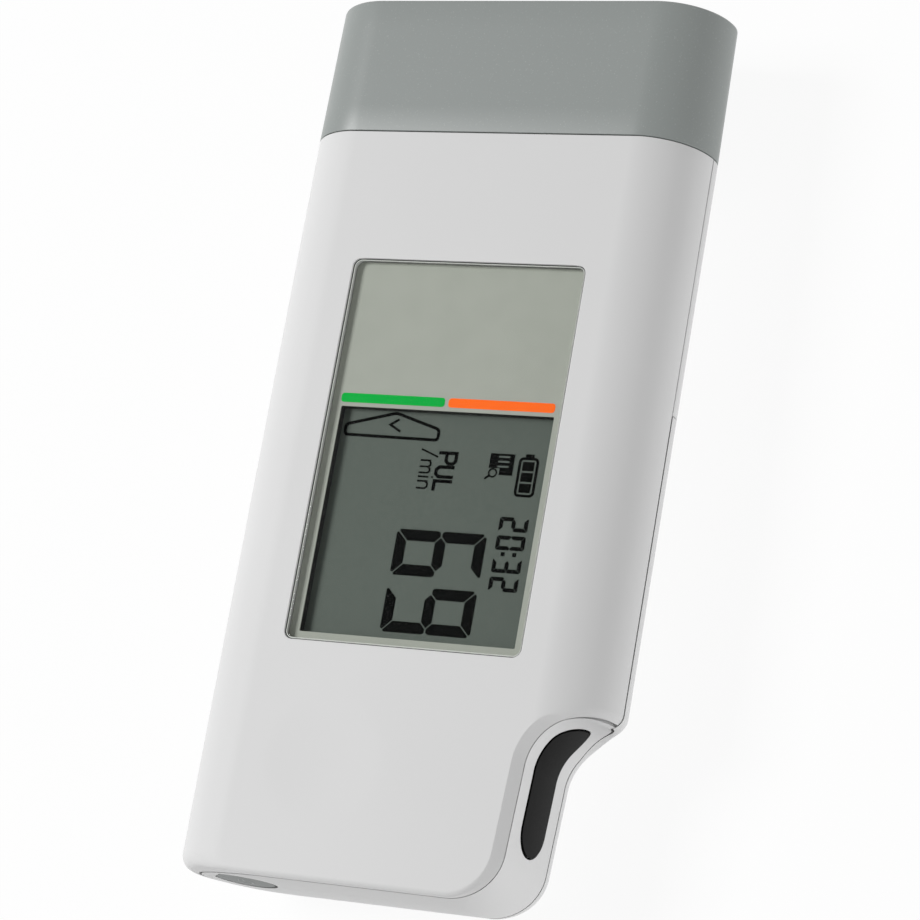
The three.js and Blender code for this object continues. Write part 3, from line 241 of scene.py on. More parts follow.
# Rounded edge along a line on the skin: steps of a quarter circle to one side of the line and inwards,
# then the wall behind it
def rim(path, z, side, radius, depth, top=0.0, lift=0.0):
    line = skin(path, z, -lift, top)
    normal = skinNormal(path, z, top)
    edge = unit(side * np.cross(unit(np.gradient(line, axis=0)), normal))
    along, inward = rollSteps(radius)
    rows = [line + edge * a - normal * b for a, b in zip(along, inward)]
    return np.stack(rows + [line + edge * radius - normal * depth])


# The same rolled edge for a line that closes on itself
def closedRim(path, z, side, radius, depth, lift=0.0):
    overlap = 3  # places added at each end, so that the slope is right where the line closes
    path, z = [np.concatenate([line[-overlap:], line, line[:overlap]]) for line in (path, z)]
    grid = rim(path, z, side, radius, depth, 0.0, lift)[:, overlap:-overlap]
    return np.concatenate([grid, grid[:, :1]], 1)


# Two lines with shared ends as one closed line: along the first and back along the second
def thereAndBack(first, second):
    return np.concatenate([first, second[::-1][1:-1]])


# Path samples: a count for each unit of the path
def pathSamples(counts):
    steps = [k + np.linspace(0, 1, count, endpoint=False) for k, count in enumerate(counts)]
    return np.concatenate(steps + [[len(counts)]])


# A rounded rectangle by turns: 0 is the upper left corner's middle, and each side takes one unit, of which
# the halves of its two corners take a small share each
def roundedLoop(turns, centre, half, radius):
    turns = np.asarray(turns, float) % 4
    side = np.floor(turns).astype(int)
    share = turns - side
    bend = 0.07
    signs = np.array([[-1, 1], [-1, -1], [1, -1], [1, 1]])
    inner = np.array(half) - radius
    first = np.array(centre) + signs[side] * inner
    last = np.array(centre) + signs[(side + 1) % 4] * inner
    base = math.radians(135) + side * math.pi / 2
    straight = np.clip((share - bend) / (1 - 2 * bend), 0, 1)[..., None]
    angle = base + math.pi / 4 * (np.clip(share / bend, 0, 1) + np.clip((share - 1 + bend) / bend, 0, 1))
    point = first + (last - first) * straight
    return point + radius * np.stack([np.cos(angle), np.sin(angle)], -1)


# Flat points with a height added
def withHeight(points, z):
    heights = np.broadcast_to(np.asarray(z, float), points.shape[:-1])
    return np.concatenate([points, heights[..., None]], -1)


# Rounded rectangles as rows, each by how far it stands outside the first one and its height
def loopRows(centre, half, corner, levels, count=201):
    turns = np.linspace(0, 4, count)
    return np.stack([withHeight(roundedLoop(turns, centre, half + out, corner + out), z)
                     for out, z in levels])


# Flat plate with rounded upright corners and eased rims: rows from the middle of the under side, out over
# the rims and back to the middle of the upper side
def plate(low, high, radius, segments=3):
    low, high = np.array(low, float), np.array(high, float)
    centre, half = (low[:2] + high[:2]) / 2, (high[:2] - low[:2]) / 2
    turns = np.linspace(0, 4, 65)
    ease = min(radius, (high[2] - low[2]) / 2) * 0.4
    along, inward = rollSteps(ease, segments)
    inner = [-half.min() * 0.999, -1.5 * ease - 0.02]  # almost on the middle line, and just inside the rim
    levels = [(out, low[2]) for out in inner]
    levels += [(-(ease - a), low[2] + b) for a, b in zip(along, inward)]
    levels += [(-(ease - a), high[2] - b) for a, b in zip(along[::-1], inward[::-1])]
    levels += [(out, high[2]) for out in inner[::-1]]
    least = 1e-4
    return np.stack([withHeight(roundedLoop(turns, centre, np.maximum(half + out, least),
                                            max(min(radius, half.min() + out), least / 10)), z)
                     for out, z in levels])


finish = {"weld": 0.002, "sharpAngle": 32}  # how near corners are joined, and which folds stay sharp


# A piece from grids of points: four neighbours make a face, and corners that meet are joined
def makePiece(name, patches, material, rides, stands=()):
    corners, faces, start = [], [], 0
    for points in patches:
        rows, columns = points.shape[:2]
        index = start + np.arange(rows * columns).reshape(rows, columns)
        quads = np.stack([index[:-1, :-1], index[:-1, 1:], index[1:, 1:], index[1:, :-1]], -1)
        corners.append(points.reshape(-1, 3))
        faces.append(quads.reshape(-1, 4))
        start += rows * columns
    corners, faces = np.concatenate(corners) * mm, np.concatenate(faces)
    mesh = bpy.data.meshes.new(name)
    mesh.vertices.add(len(corners))
    mesh.vertices.foreach_set("co", corners.ravel())
    mesh.loops.add(faces.size)
    mesh.loops.foreach_set("vertex_index", faces.ravel())
    mesh.polygons.add(len(faces))
    mesh.polygons.foreach_set("loop_start", np.arange(len(faces)) * 4)
    mesh.update(calc_edges=True)
    joinCorners(mesh)
    showMesh(name, mesh, material, rides, stands)


def joinCorners(mesh):
    work = bmesh.new()
    work.from_mesh(mesh)
    bmesh.ops.remove_doubles(work, verts=work.verts, dist=finish["weld"] * mm)
    bmesh.ops.dissolve_degenerate(work, edges=work.edges, dist=finish["weld"] * mm / 4)
    bmesh.ops.recalc_face_normals(work, faces=work.faces)
    work.to_mesh(mesh)
    work.free()


def showMesh(name, mesh, material, rides, stands=()):
    mesh.shade_smooth()
    mesh.set_sharp_from_angle(angle=math.radians(finish["sharpAngle"]))
    piece = bpy.data.objects.new(name, mesh)
    bpy.context.scene.collection.objects.link(piece)
    mesh.materials.append(material)
    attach(piece, rides)
    if stands:
        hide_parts(*stands)


# sRGB to linear: c/12.92 below 0.04045, otherwise ((c + 0.055)/1.055) to the power 2.4
def linear(hexColour):
    parts = [int(hexColour[i:i + 2], 16) / 255 for i in (1, 3, 5)]
    return tuple(c / 12.92 if c <= 0.04045 else ((c + 0.055) / 1.055) ** 2.4 for c in parts) + (1.0,)


# Settings are node fields or input values by name, and links are input name to (node, output)
def addNode(owner, kind, settings=None, links=None):
    node = owner.node_tree.nodes.new(kind)
    for key, value in (settings or {}).items():
        if hasattr(node, key):
            setattr(node, key, value)
        else:
            node.inputs[key].default_value = value
    for key, (source, output) in (links or {}).items():
        owner.node_tree.links.new(source.outputs[output], node.inputs[key])
    return node


def newMaterial(name, slot, colour, rough, metal=0.0, ior=1.5, specular=0.5):
    material = bpy.data.materials.new(name)
    material.use_nodes = True
    material["slot"] = slot
    shader = material.node_tree.nodes["Principled BSDF"]
    shader.inputs["Base Color"].default_value = linear(colour)
    shader.inputs["Roughness"].default_value = rough
    shader.inputs["Metallic"].default_value = metal
    shader.inputs["IOR"].default_value = ior
    shader.inputs["Specular IOR Level"].default_value = specular
    return material, shader


def join(material, source, output, shader, entry):
    material.node_tree.links.new(source.outputs[output], shader.inputs[entry])


# A surface that is one shader over another: the mixed one takes the place of the material's own
def mixShaders(material, share, under, over):
    mix = addNode(material, "ShaderNodeMixShader", links={"Fac": share})
    links = material.node_tree.links
    links.new(under.outputs[0], mix.inputs[1])
    links.new(over.outputs[0], mix.inputs[2])
    links.new(mix.outputs["Shader"], material.node_tree.nodes["Material Output"].inputs["Surface"])


# Fine noise on the surface: its size in millimetres, its height for the bump, and how far it moves the
# roughness either side of its middle
def grain(material, shader, sizeMm, height, spread):
    place = addNode(material, "ShaderNodeTexCoord")
    noise = addNode(material, "ShaderNodeTexNoise",
                    {"Scale": 1 / (sizeMm * mm), "Detail": 4, "Roughness": 0.55},
                    {"Vector": (place, "Object")})
    bump = addNode(material, "ShaderNodeBump", {"Strength": 1.0, "Distance": height * mm},
                   {"Height": (noise, "Fac")})
    join(material, bump, "Normal", shader, "Normal")
    middle = shader.inputs["Roughness"].default_value
    span = addNode(material, "ShaderNodeMapRange",
                   {"To Min": middle - spread, "To Max": middle + spread}, {"Value": (noise, "Fac")})
    join(material, span, "Result", shader, "Roughness")
    return place


# Slow drift between two close colours, as moulded or printed surfaces have
def tint(material, shader, place, sizeMm, colours, stops=(0.35, 0.65)):
    drift = addNode(material, "ShaderNodeTexNoise", {"Scale": 1 / (sizeMm * mm), "Detail": 2},
                    {"Vector": (place, "Object")})
    ramp = addNode(material, "ShaderNodeValToRGB", links={"Fac": (drift, "Fac")})
    for element, stop, colour in zip(ramp.color_ramp.elements, stops, colours):
        element.position = stop
        element.color = linear(colour)
    join(material, ramp, "Color", shader, "Base Color")


# Moulded ABS, fine satin: a soft, slightly broken highlight on an even cool white
def whiteAbs():
    colours = ("#d7d7d7", "#d5d5d5")
    material, shader = newMaterial("satinWhiteAbs", "white_housing", colours[0], 0.55, specular=0.4)
    place = grain(material, shader, sizeMm=0.35, height=0.0012, spread=0.03)
    tint(material, shader, place, 30, colours)
    return material


# ABS with fine metal flakes under a satin skin: grey-green, with tiny bright specks
def greyCapAbs():
    flakeMm, plain, speck = 0.12, "#898e8c", "#959a98"
    material, shader = newMaterial("flakedGreyAbs", "grey_cap", plain, 0.38)
    place = grain(material, shader, sizeMm=0.25, height=0.0016, spread=0.04)
    flakes = addNode(material, "ShaderNodeTexVoronoi", {"Scale": 1 / (flakeMm * mm)},
                     {"Vector": (place, "Object")})
    sparkle = addNode(material, "ShaderNodeValToRGB", links={"Fac": (flakes, "Color")})
    for element, stop, colour in zip(sparkle.color_ramp.elements, (0.82, 0.97), (plain, speck)):
        element.position = stop
        element.color = linear(colour)
    join(material, sparkle, "Color", shader, "Base Color")
    return material


# Carbon-filled silicone rubber, moulded: matt, soft sheen and a very fine grain
def blackRubber():
    colours = ("#151515", "#131313")
    material, shader = newMaterial("conductiveRubber", "black_electrode", colours[0], 0.55,
                                   ior=1.45, specular=0.07)
    place = grain(material, shader, sizeMm=0.3, height=0.003, spread=0.06)
    tint(material, shader, place, 6, colours)
    return material


# Moulded ABS key, satin mid grey
def greyKey():
    colours = ("#757978", "#717574")
    material, shader = newMaterial("satinGreyAbs", "grey_button", colours[0], 0.48)
    place = grain(material, shader, sizeMm=0.25, height=0.0015, spread=0.04)
    tint(material, shader, place, 5, colours)
    return material


# Clear cast acrylic under a glare-cutting coat: faint sharp reflections that grow towards a slant
def clearAcrylic():
    gloss = {"ior": 1.49, "most": 0.05, "waveMm": 14, "waveHeight": 0.004}
    material, shader = newMaterial("clearAcrylic", "clear_window", "#ffffff", 0.0, metal=1.0)
    place = addNode(material, "ShaderNodeTexCoord")
    drift = addNode(material, "ShaderNodeTexNoise", {"Scale": 1 / (gloss["waveMm"] * mm), "Detail": 1},
                    {"Vector": (place, "Object")})
    wave = addNode(material, "ShaderNodeBump", {"Strength": 1.0, "Distance": gloss["waveHeight"] * mm},
                   {"Height": (drift, "Fac")})
    join(material, wave, "Normal", shader, "Normal")
    slant = addNode(material, "ShaderNodeFresnel", {"IOR": gloss["ior"]})
    coat = addNode(material, "ShaderNodeMapRange", {"To Max": gloss["most"]}, {"Value": (slant, "Fac")})
    clear = addNode(material, "ShaderNodeBsdfTransparent", {"Color": (0.96, 0.965, 0.955, 1)})
    mixShaders(material, (coat, "Result"), clear, shader)
    return material


# Ink printed on the back of the acrylic: even, with a very slight mottle and no gloss of its own. One
# given a glow emits a little light of its own, which is painted light.
def printedInk(name, slot, colours, glow=None):
    material, shader = newMaterial(name, slot, colours[0], 0.6, specular=0.02)
    if glow:
        shader.inputs["Emission Color"].default_value = linear(glow[0])
        shader.inputs["Emission Strength"].default_value = glow[1]
    place = grain(material, shader, sizeMm=0.12, height=0.0006, spread=0.03)
    tint(material, shader, place, 3, colours)
    return material


# Grey-green reflector foil behind the crystal: pearly, faintly speckled
def reflectorFoil():
    colours = ("#626a65", "#5e6661")
    material, shader = newMaterial("reflectorFoil", "display_glass", colours[0], 0.5, specular=0.1)
    place = grain(material, shader, sizeMm=0.1, height=0.0008, spread=0.05)
    tint(material, shader, place, 0.35, colours, (0.4, 0.6))
    return material


# Small moulded, cut or plated parts: a fine grain and a slight drift of colour
def plainPart(name, slot, colours, rough, metal=0.0):
    material, shader = newMaterial(name, slot, colours[0], rough, metal)
    place = grain(material, shader, sizeMm=0.3, height=0.002, spread=0.05)
    tint(material, shader, place, 4, colours)
    return material


white = whiteAbs()
greyCap = greyCapAbs()
rubber = blackRubber()
keyGrey = greyKey()
acrylic = clearAcrylic()
maskInk = printedInk("greyGreenInk", "printed_mask", ("#b9bcb5", "#b6b9b2"))
greenInk = printedInk("greenInk", "printed_mask", ("#16c04d", "#14bb4b"))
# the orange ink glows a little: painted light that makes it brighter than its colour alone
orangeInk = printedInk("orangeInk", "printed_mask", ("#ff7a2c", "#fb772a"), glow=("#ff3010", 0.27))
foil = reflectorFoil()
segmentInk = printedInk("darkSegments", "display_glass", ("#030404", "#020303"))
# near-black walls of the display's well: painted shade that deepens the dark band along the opening's edges
wellPaintedShade = plainPart("screenWell", "display_glass", ("#0c0e0d", "#090b0a"), 0.7)
# dark ring in the gap round the pane: painted shade
gapShadeBlack = plainPart("paintedGapShade", "printed_mask", ("#1c1f1e", "#181b1a"), 0.7)
# pale opaque ring on the pane's chamfer: painted highlight where the chamfer catches the light
bevelHighlightPaint = plainPart("paintedBevelHighlight", "clear_window", ("#f0f3ee", "#ecefea"), 0.25)
iconInk = printedInk("iconInk", "grey_button", ("#b9bcbb", "#b5b8b7"))
print("materials ready")

seam = {  # half the gap between shells, the gap round the band, what its tips add, samples towards a tip
    "half": 0.06, "band": 0.05, "tip": 0.14, "tipSamples": 36,
}
roll = body["seamRound"]
sideSamples = [24, 16, 10, 60, 20, 14, 26, 34, 12, 24]  # path samples for each unit up to the top edge
topSamples = 24
firstPath, lastPath = 2.0, 8.0  # the band lies between these path positions
wallStart, arcStart = 5.0, 6.0  # the recess wall begins at the first and its arc at the second


# Share of the full height that the band keeps near a tip: a superellipse from full down to nothing
def tipHeight(beyond, length, tipMargin, fullness):
    share = np.clip(beyond / (length + tipMargin), 0, 1)
    return (1 - share**fullness) ** (1 / fullness)


# Height of the band's edge, above (side 1) or below (side -1) the parting line, at a path position. The
# outline is laid out at the height of the band's middle, and past its tips the height given is returned.
def bandEdge(path, margin, side, outside):
    across = skin(path, bandMid)[..., 0]
    tipMargin = margin + (seam["tip"] if margin > 0 else 0)
    end, length, fullness = bandTip["left"][side]
    reach = tipHeight(end + length - across, length, tipMargin, fullness)
    end, length, fullness = bandTip["right"][side]
    reach = reach * tipHeight(across - end + length, length, tipMargin, fullness)
    full = bandMid + side * (bandHalf + margin)
    inside = (path > firstPath) & (path < lastPath) & (reach > 0)
    return np.where(inside, partingZ + (full - partingZ) * reach, outside)


# Path samples that crowd towards the tips of the band, where its edge turns fastest
def tipPaths(margin):
    crowd = 1 - np.sin(np.linspace(0, math.pi / 2, seam["tipSamples"]))
    tipMargin = margin + (seam["tip"] if margin > 0 else 0)
    paths = []
    for side in (1, -1):
        end, length, _ = bandTip["left"][side]
        paths.append(pathAt(end - tipMargin + (length + tipMargin) * crowd, bandMid))
        end, length, _ = bandTip["right"][side]
        paths.append(pathAt(end + tipMargin - (length + tipMargin) * crowd, bandMid, wallStart, lastPath))
    return paths


# Path and height of a shell's skin between its seam and a far level, and the path and height of its edge.
# Heights in front of the seam follow the side's circle by equal angles, and those behind it crowd towards
# the back.
def shellGrid(seamZ, farZ, side, closed):
    margin = seam["band"] + roll
    base = pathSamples(sideSamples + ([topSamples] if closed else []))
    path = np.unique(np.round(np.concatenate([base] + tipPaths(margin)), 9))
    path = path[np.concatenate([[True], np.diff(path) > 1e-4])]
    edge = side * np.maximum(side * bandEdge(path, margin, side, seamZ), side * seamZ)
    share = np.linspace(0, 1, 42)[:, None]
    if side > 0:
        angle = np.arcsin((edge - widestZ) / body["sideRadius"])
        heights = widestZ + body["sideRadius"] * np.sin(angle + (math.pi / 2 - angle) * share)
    else:
        heights = farZ + (edge - farZ) * (1 - share) ** 2.2
    inPath = path <= len(sideSamples)
    return np.broadcast_to(path, heights.shape), heights, path[inPath], edge[inPath]


dish = {"place": (-6.5, endY + 13.5), "radius": 6.95, "depth": 0.13, "ease": 1.25}


# Shallow round hollow for the thumb: a paraboloid raised to a power, which eases its rim
def dishDepth(x, y):
    away = np.hypot(x - dish["place"][0], y - dish["place"][1]) / dish["radius"]
    return dish["depth"] * np.clip(1 - away**2, 0, 1) ** dish["ease"]


windowHole = {
    "fit": 0.1, "corner": 1.0, "leastCorner": 0.05, "round": 0.08, "ledge": 0.9, "ledgeThickness": 1.0,
    "facing": (0.0, 2.5, 5.6, 10.0, 11.0),  # path positions that face the window's corners
}
windowCentre = (paneLow[:2] + paneHigh[:2]) / 2
windowHalf = (paneHigh[:2] - paneLow[:2]) / 2 + windowHole["fit"]


# One row of the window's hole, by how far it stands outside the hole's wall
def holeRow(turns, out, z):
    corner = max(windowHole["corner"] + out, windowHole["leastCorner"])
    return withHeight(roundedLoop(turns, windowCentre, windowHalf + out, corner), z)


# Distance run along a line of points
def reachAlong(line):
    return np.concatenate([[0], np.cumsum(np.linalg.norm(np.diff(line, axis=0), axis=1))])


# Side skin up to the front face, then a flat ring from the outline to the window, with the thumb's hollow
# in it, then the window's rounded edge, rebate and ledge
def makeFrontHousing():
    top = seamY - seam["half"]
    paths, heights, edgePath, edgeZ = shellGrid(partingZ + seam["half"] + roll, frontZ, 1, True)
    topRoll = np.clip(heights - (frontZ - roll), 0, roll)
    tops = top - (roll - np.sqrt(np.maximum(roll**2 - topRoll**2, 0)))
    side = skin(paths, heights, 0, tops)
    ring = side[-1]
    reach = reachAlong(ring)
    turns = np.interp(reach, np.interp(windowHole["facing"], paths[-1], reach), [0, 1, 2, 3, 4])
    hole = holeRow(turns, windowHole["round"], frontZ)
    steps = [[0, 0.004], np.linspace(0.02, 0.97, 52), [0.99, 1]]  # finer at the outline and at the window
    blend = np.concatenate(steps)[:, None, None]
    flat = ring[None, :, :2] * (1 - blend) + hole[None, :, :2] * blend
    face = withHeight(flat, frontZ - dishDepth(flat[..., 0], flat[..., 1]))
    along, inward = rollSteps(windowHole["round"], 5)
    levels = [(windowHole["round"] - a, frontZ - b) for a, b in zip(along, inward)]
    levels += [(0, panelHigh[2]), (-windowHole["ledge"], panelHigh[2]),
               (-windowHole["ledge"], panelHigh[2] - windowHole["ledgeThickness"])]
    rebate = np.stack([holeRow(turns, out, z) for out, z in levels])
    edge = rim(edgePath, edgeZ, -1, roll, body["wall"], top)
    makePiece("frontHousing", [side, face, rebate, edge], white, "housing", ["front_shell"])


grip = {"count": 6, "length": 13.0, "width": 0.8, "depth": 0.4, "pitch": 1.7, "drop": 6.0, "fade": 0.4}


# Finger grooves across the cover: a flat-bottomed slot for each pitch, faded out at its ends
def gripDepth(x, y):
    first = coverTop - seam["half"] - grip["drop"]
    nearest = np.clip(np.round((first - y) / grip["pitch"]), 0, grip["count"] - 1)
    off = np.abs(y - (first - nearest * grip["pitch"])) / (grip["width"] / 2)
    end = np.clip((grip["length"] / 2 - np.abs(x)) / grip["fade"], 0, 1)
    return grip["depth"] * np.clip(1 - off**4, 0, 1) * end * (off < 1)


cover = {
    "relief": 0.5, "reliefLow": 3.0, "reliefRamp": 3.0,  # inside the wall, to slide off past the band
    "tongueWidth": 5.0, "tongueThickness": 1.0, "tongueLow": 1.55, "tongueEase": 0.2,
}


# Outer skin, rolled seam edge, floor with the grooves, inner skin and floor, end face, and the tongue
def makeCover():
    top = coverTop - seam["half"]
    paths, heights, edgePath, edgeZ = shellGrid(partingZ - seam["half"] - roll, 0.0, -1, False)
    side = skin(paths, heights, 0, top)
    wall = body["wall"]
    thin = wall - cover["relief"] * np.clip((heights - cover["reliefLow"]) / cover["reliefRamp"], 0, 1)
    inner = skin(paths, np.maximum(heights, wall), thin, top)
    half, low = cover["tongueWidth"] / 2, cover["tongueLow"]
    tongue = plate((-half, top - body["tongueReach"], low),
                   (half, top + body["tongueReach"], low + cover["tongueThickness"]), cover["tongueEase"])
    patches = [side, rim(edgePath, edgeZ, 1, roll, wall, top), coverFloor(paths[-1], side[-1], True), inner,
               coverFloor(paths[-1], inner[-1], False), sectionRim(top, heights[:, 0], wall), tongue]
    makePiece("batteryCover", patches, white, "cover", ["battery_cover"])


# Floor inside a ring. Above the split the rungs are level and carry the grooves. Below it the rest of the
# ring is closed rung by rung, between places at equal shares of its two halves.
def coverFloor(path, ring, grooves):
    columns = 21
    half, level = abs(ring[0, 0]), ring[0, 2]
    levels = np.concatenate([np.linspace(ring[0, 1], body["sideSplit"], 220), ring[path <= 1, 1]])
    x, y = np.meshgrid(half * np.linspace(-1, 1, columns), np.unique(np.round(levels, 9))[::-1])
    upper = np.stack([x, y, level + (gripDepth(x, y) if grooves else 0 * x)], -1)
    rest = ring[(path >= 1) & (path <= 9)]
    reach = reachAlong(rest)
    reach /= reach[-1]
    shares = np.concatenate([np.linspace(0, 0.5, 100), reach[reach < 0.5], 1 - reach[reach > 0.5]])
    shares = np.unique(shares)
    left, right = [np.stack([np.interp(mark, reach, rest[:, k]) for k in range(3)], -1)
                   for mark in (shares, 1 - shares)]
    blend = np.linspace(0, 1, columns)[None, :, None]
    return np.concatenate([upper, left[:, None] * (1 - blend) + right[:, None] * blend])


# A section of the back: down the left side, across the flat, and up the right side
def backSection(left, columns):
    flat = np.linspace(left[-1, 0], -left[-1, 0], columns)[:, None]
    bottom = np.concatenate([flat, np.broadcast_to(left[-1, 1:], (columns, 2))], 1)
    return np.concatenate([left, bottom[1:-1], left[::-1] * mirror])


# Rounded end edge of a shell across its section, and the end face behind it
def sectionRim(top, heights, wall):
    along, inward = rollSteps(roll)
    rows = []
    for a, b in list(zip(along, inward)) + [(roll, wall)]:
        left = skin(0.0, np.maximum(heights, b), b, top + roll)
        left[:, 1] = top - roll + a
        rows.append(backSection(left, 21))
    return np.stack(rows)


# The back above the cover: the section carried along the body, its four edges rolled in
def makeBackHousing():
    low, high = coverTop + seam["half"], seamY - seam["half"]
    seamZ = partingZ - seam["half"]
    wall = [body["wall"]]
    along, inward = rollSteps(roll)
    share = np.linspace(1, 0, 44)[1:]
    zs = np.concatenate([[seamZ], seamZ - roll + along[::-1], (seamZ - roll) * share**1.9])
    insets = np.concatenate([wall, inward[::-1], np.zeros(len(share))])
    between = np.linspace(low + roll, high - roll, 12)[1:-1]
    ys = np.concatenate([[low], low + roll - along[::-1], between, high - roll + along, [high]])
    endInsets = np.concatenate([wall, inward[::-1], np.zeros(len(between)), inward, wall])
    rows = []
    for y, extra in zip(ys, endInsets):
        inset = np.maximum(insets, extra)
        z = np.maximum(zs, inset)
        left = np.stack([-widthAt(z, inset), np.full_like(z, y), z], -1)
        rows.append(backSection(left, 25))
    makePiece("backHousing", [np.stack(rows)], white, "housing", ["back_shell"])


# The tray and bulkhead of the back shell stay as made: everything below the cover's upper edge
def makeBatteryTray():
    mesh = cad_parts["back_shell"].data.copy()
    mesh.materials.clear()
    work = bmesh.new()
    work.from_mesh(mesh)
    bmesh.ops.remove_doubles(work, verts=work.verts, dist=finish["weld"] * mm / 2)
    slack = 0.01
    limit = (coverTop + seam["half"] + body["wall"] + slack) * mm
    away = [f for f in work.faces if max(v.co.y for v in f.verts) > limit]
    bmesh.ops.delete(work, geom=away, context="FACES")
    work.to_mesh(mesh)
    work.free()
    showMesh("batteryTray", mesh, white, "housing", ["back_shell"])


makeFrontHousing()
makeBackHousing()
makeBatteryTray()
makeCover()
print("housing made")

pad = {"low": -8.35, "high": 7.45, "half": 3.25, "tip": 2.9, "gap": 0.05, "proud": 0.1, "crown": 0.15,
       "round": 0.12, "depth": 1.2}
key = {"place": (-15.3, frontZ - 4.65), "half": (3.7, 2.05), "gap": 0.05, "sunk": 0.06, "round": 0.12}
powerMark = {"radius": 0.82, "stroke": 0.15, "gap": math.radians(38), "lift": 0.02, "bar": (0.15, 1.15)}
rimDepth = 1.4  # how far the band's and the key's rims run in


# Path position on the recess wall, by the distance from where the arc starts
def wallPath(reach):
    arcLength = reachAlong(skin(np.linspace(arcStart, arcStart + 1, 200), bandMid))[-1]
    straight = body["arcRise"] - body["endCorner"]
    return np.where(reach < 0, arcStart + reach / straight, arcStart + reach / arcLength)


# Half the pad's height along the wall, elliptic at both ends
def padReach(reach, margin):
    inside = np.minimum(reach - pad["low"], pad["high"] - reach) + margin
    share = np.clip(inside / (pad["tip"] + margin), 0, 1)
    return (pad["half"] + margin) * np.sqrt(np.clip(1 - (1 - share) ** 2, 0, 1))


# Distances along the wall from one end of the pad to the other, crowded towards both ends
def padReaches(margin, endSteps, middleSteps):
    fan = (pad["tip"] + margin) * (1 - np.cos(np.linspace(0, math.pi / 2, endSteps)))
    low, high = pad["low"] - margin, pad["high"] + margin
    middle = np.linspace(low + fan[-1], high - fan[-1], middleSteps)[1:-1]
    return np.concatenate([low + fan, middle, (high - fan)[::-1]])


# Half the key's height at a place across: an ellipse
def keyReach(x, margin):
    share = (x - key["place"][0]) / (key["half"][0] + margin)
    return (key["half"][1] + margin) * np.sqrt(np.clip(1 - share**2, 0, 1))


# Columns run from the left tip across the bottom end, up the wall and round to the right tip. An upper and
# a lower half meet on a line through the middles of the key and the pad, and are rolled in round the
# outline, the key's hole and the pad's hole.
def makeBand():
    margin, padMargin = key["gap"] + roll, pad["gap"] + roll
    reach = key["half"][0] + margin
    keyX, keyZ = key["place"]
    crowd = np.sin(np.linspace(0, math.pi / 2, 30))
    leftTip = bandTip["left"][1][0] + roll
    endX = 4.0  # where the bottom end's columns give way to those that lead to the wall
    xs = np.unique(np.round(np.concatenate([
        leftTip + (keyX - reach - leftTip) * (1 - crowd),
        keyX + reach * np.cos(np.linspace(math.pi, 0, 33)),
        np.linspace(keyX + reach, endX, 26)]), 9))
    base = pathAt(xs, bandMid)
    reaches = padReaches(padMargin, 14, 40)
    wall = wallPath(reaches)
    lowerTip, tip = [pathAt(bandTip["right"][side][0] - roll, bandMid, wallStart, lastPath)
                     for side in (-1, 1)]
    after = np.concatenate([wall[-1] + (lowerTip - wall[-1]) * crowd[1:],
                            lowerTip + (tip - lowerTip) * crowd[1:]])
    tail = np.concatenate([wall[1:], after])
    hole = padReach(reaches, padMargin)
    tailHole = np.concatenate([hole[1:], np.zeros(len(after))])
    spine = np.interp(tail, [wall[-1], lowerTip], [bandMid, partingZ])
    middle = np.interp(xs, [leftTip, keyX - reach, keyX + reach, endX / 2], [partingZ, keyZ, keyZ, partingZ])
    keyHole = keyReach(xs, margin)
    rows = np.linspace(0, 1, 18)[:, None]
    blend = np.linspace(0, 1, 24)[1:]
    patches, outline, keyLine = [], [], []
    for side in (1, -1):
        start = middle + side * keyHole
        edgeZ = bandEdge(base, -roll, side, partingZ)
        z = start + (edgeZ - start) * rows
        path = pathAt(xs + (skin(base, edgeZ)[..., 0] - xs) * rows, z)
        link = path[:, -1:] + (wall[0] - path[:, -1:]) * blend
        start = partingZ + (bandMid - partingZ) * blend
        linkZ = start + (bandMid + side * (bandHalf - roll) - start) * rows
        start = spine + side * tailHole
        tailZ = start + (bandEdge(tail, -roll, side, partingZ) - start) * rows
        path = np.concatenate([path, link, tail + 0 * tailZ], 1)
        z = np.concatenate([z, linkZ, tailZ], 1)
        patches.append(skin(path, z))
        outline.append((path[-1], z[-1]))
        atKey = np.flatnonzero(np.abs(xs - keyX) <= reach + 1e-6)
        keyLine.append((path[0, atKey], z[0, atKey]))
    holeLine = [(wall, bandMid + hole), (wall, bandMid - hole)]
    for (upper, lower), outward in ((outline, 1), (keyLine, -1), (holeLine, -1)):
        line = [thereAndBack(up, down) for up, down in zip(upper, lower)]
        patches.append(closedRim(*line, outward, roll, rimDepth))
    makePiece("endBand", patches, white, "housing", ["end_band"])


# Crowned pad that follows the recess wall: half an ellipse high at each place, lifted most in its middle,
# with a rolled edge all round
def makeFingerPad():
    ease = pad["round"]
    reaches = padReaches(-ease, 18, 50)
    half = padReach(reaches, -ease)
    across = np.sin(np.linspace(-math.pi / 2, math.pi / 2, 21))[:, None]
    z = bandMid + half * across
    path = np.broadcast_to(wallPath(reaches), z.shape)
    lift = pad["proud"] + pad["crown"] * (1 - ((z - bandMid) / pad["half"]) ** 2) * (half / pad["half"])
    face = skin(path, z) + skinNormal(path, z) * lift[..., None]
    loopPath, loopZ, loopLift = [thereAndBack(grid[-1], grid[0]) for grid in (path, z, lift)]
    edge = closedRim(loopPath, loopZ, 1, ease, pad["depth"], pad["proud"])
    edge[0, :-1] = skin(loopPath, loopZ) + skinNormal(loopPath, loopZ) * loopLift[:, None]
    edge[0, -1] = edge[0, 0]
    makePiece("fingerPad", [face, edge], rubber, "housing", ["finger_electrode"])


# Path and place on the key's surface, which is the skin sunk a little
def onKey(x, z, sunk):
    height = key["place"][1] + z
    path = pathAt(key["place"][0] + x, height)
    return path, height, skin(path, height) - skinNormal(path, height) * sunk


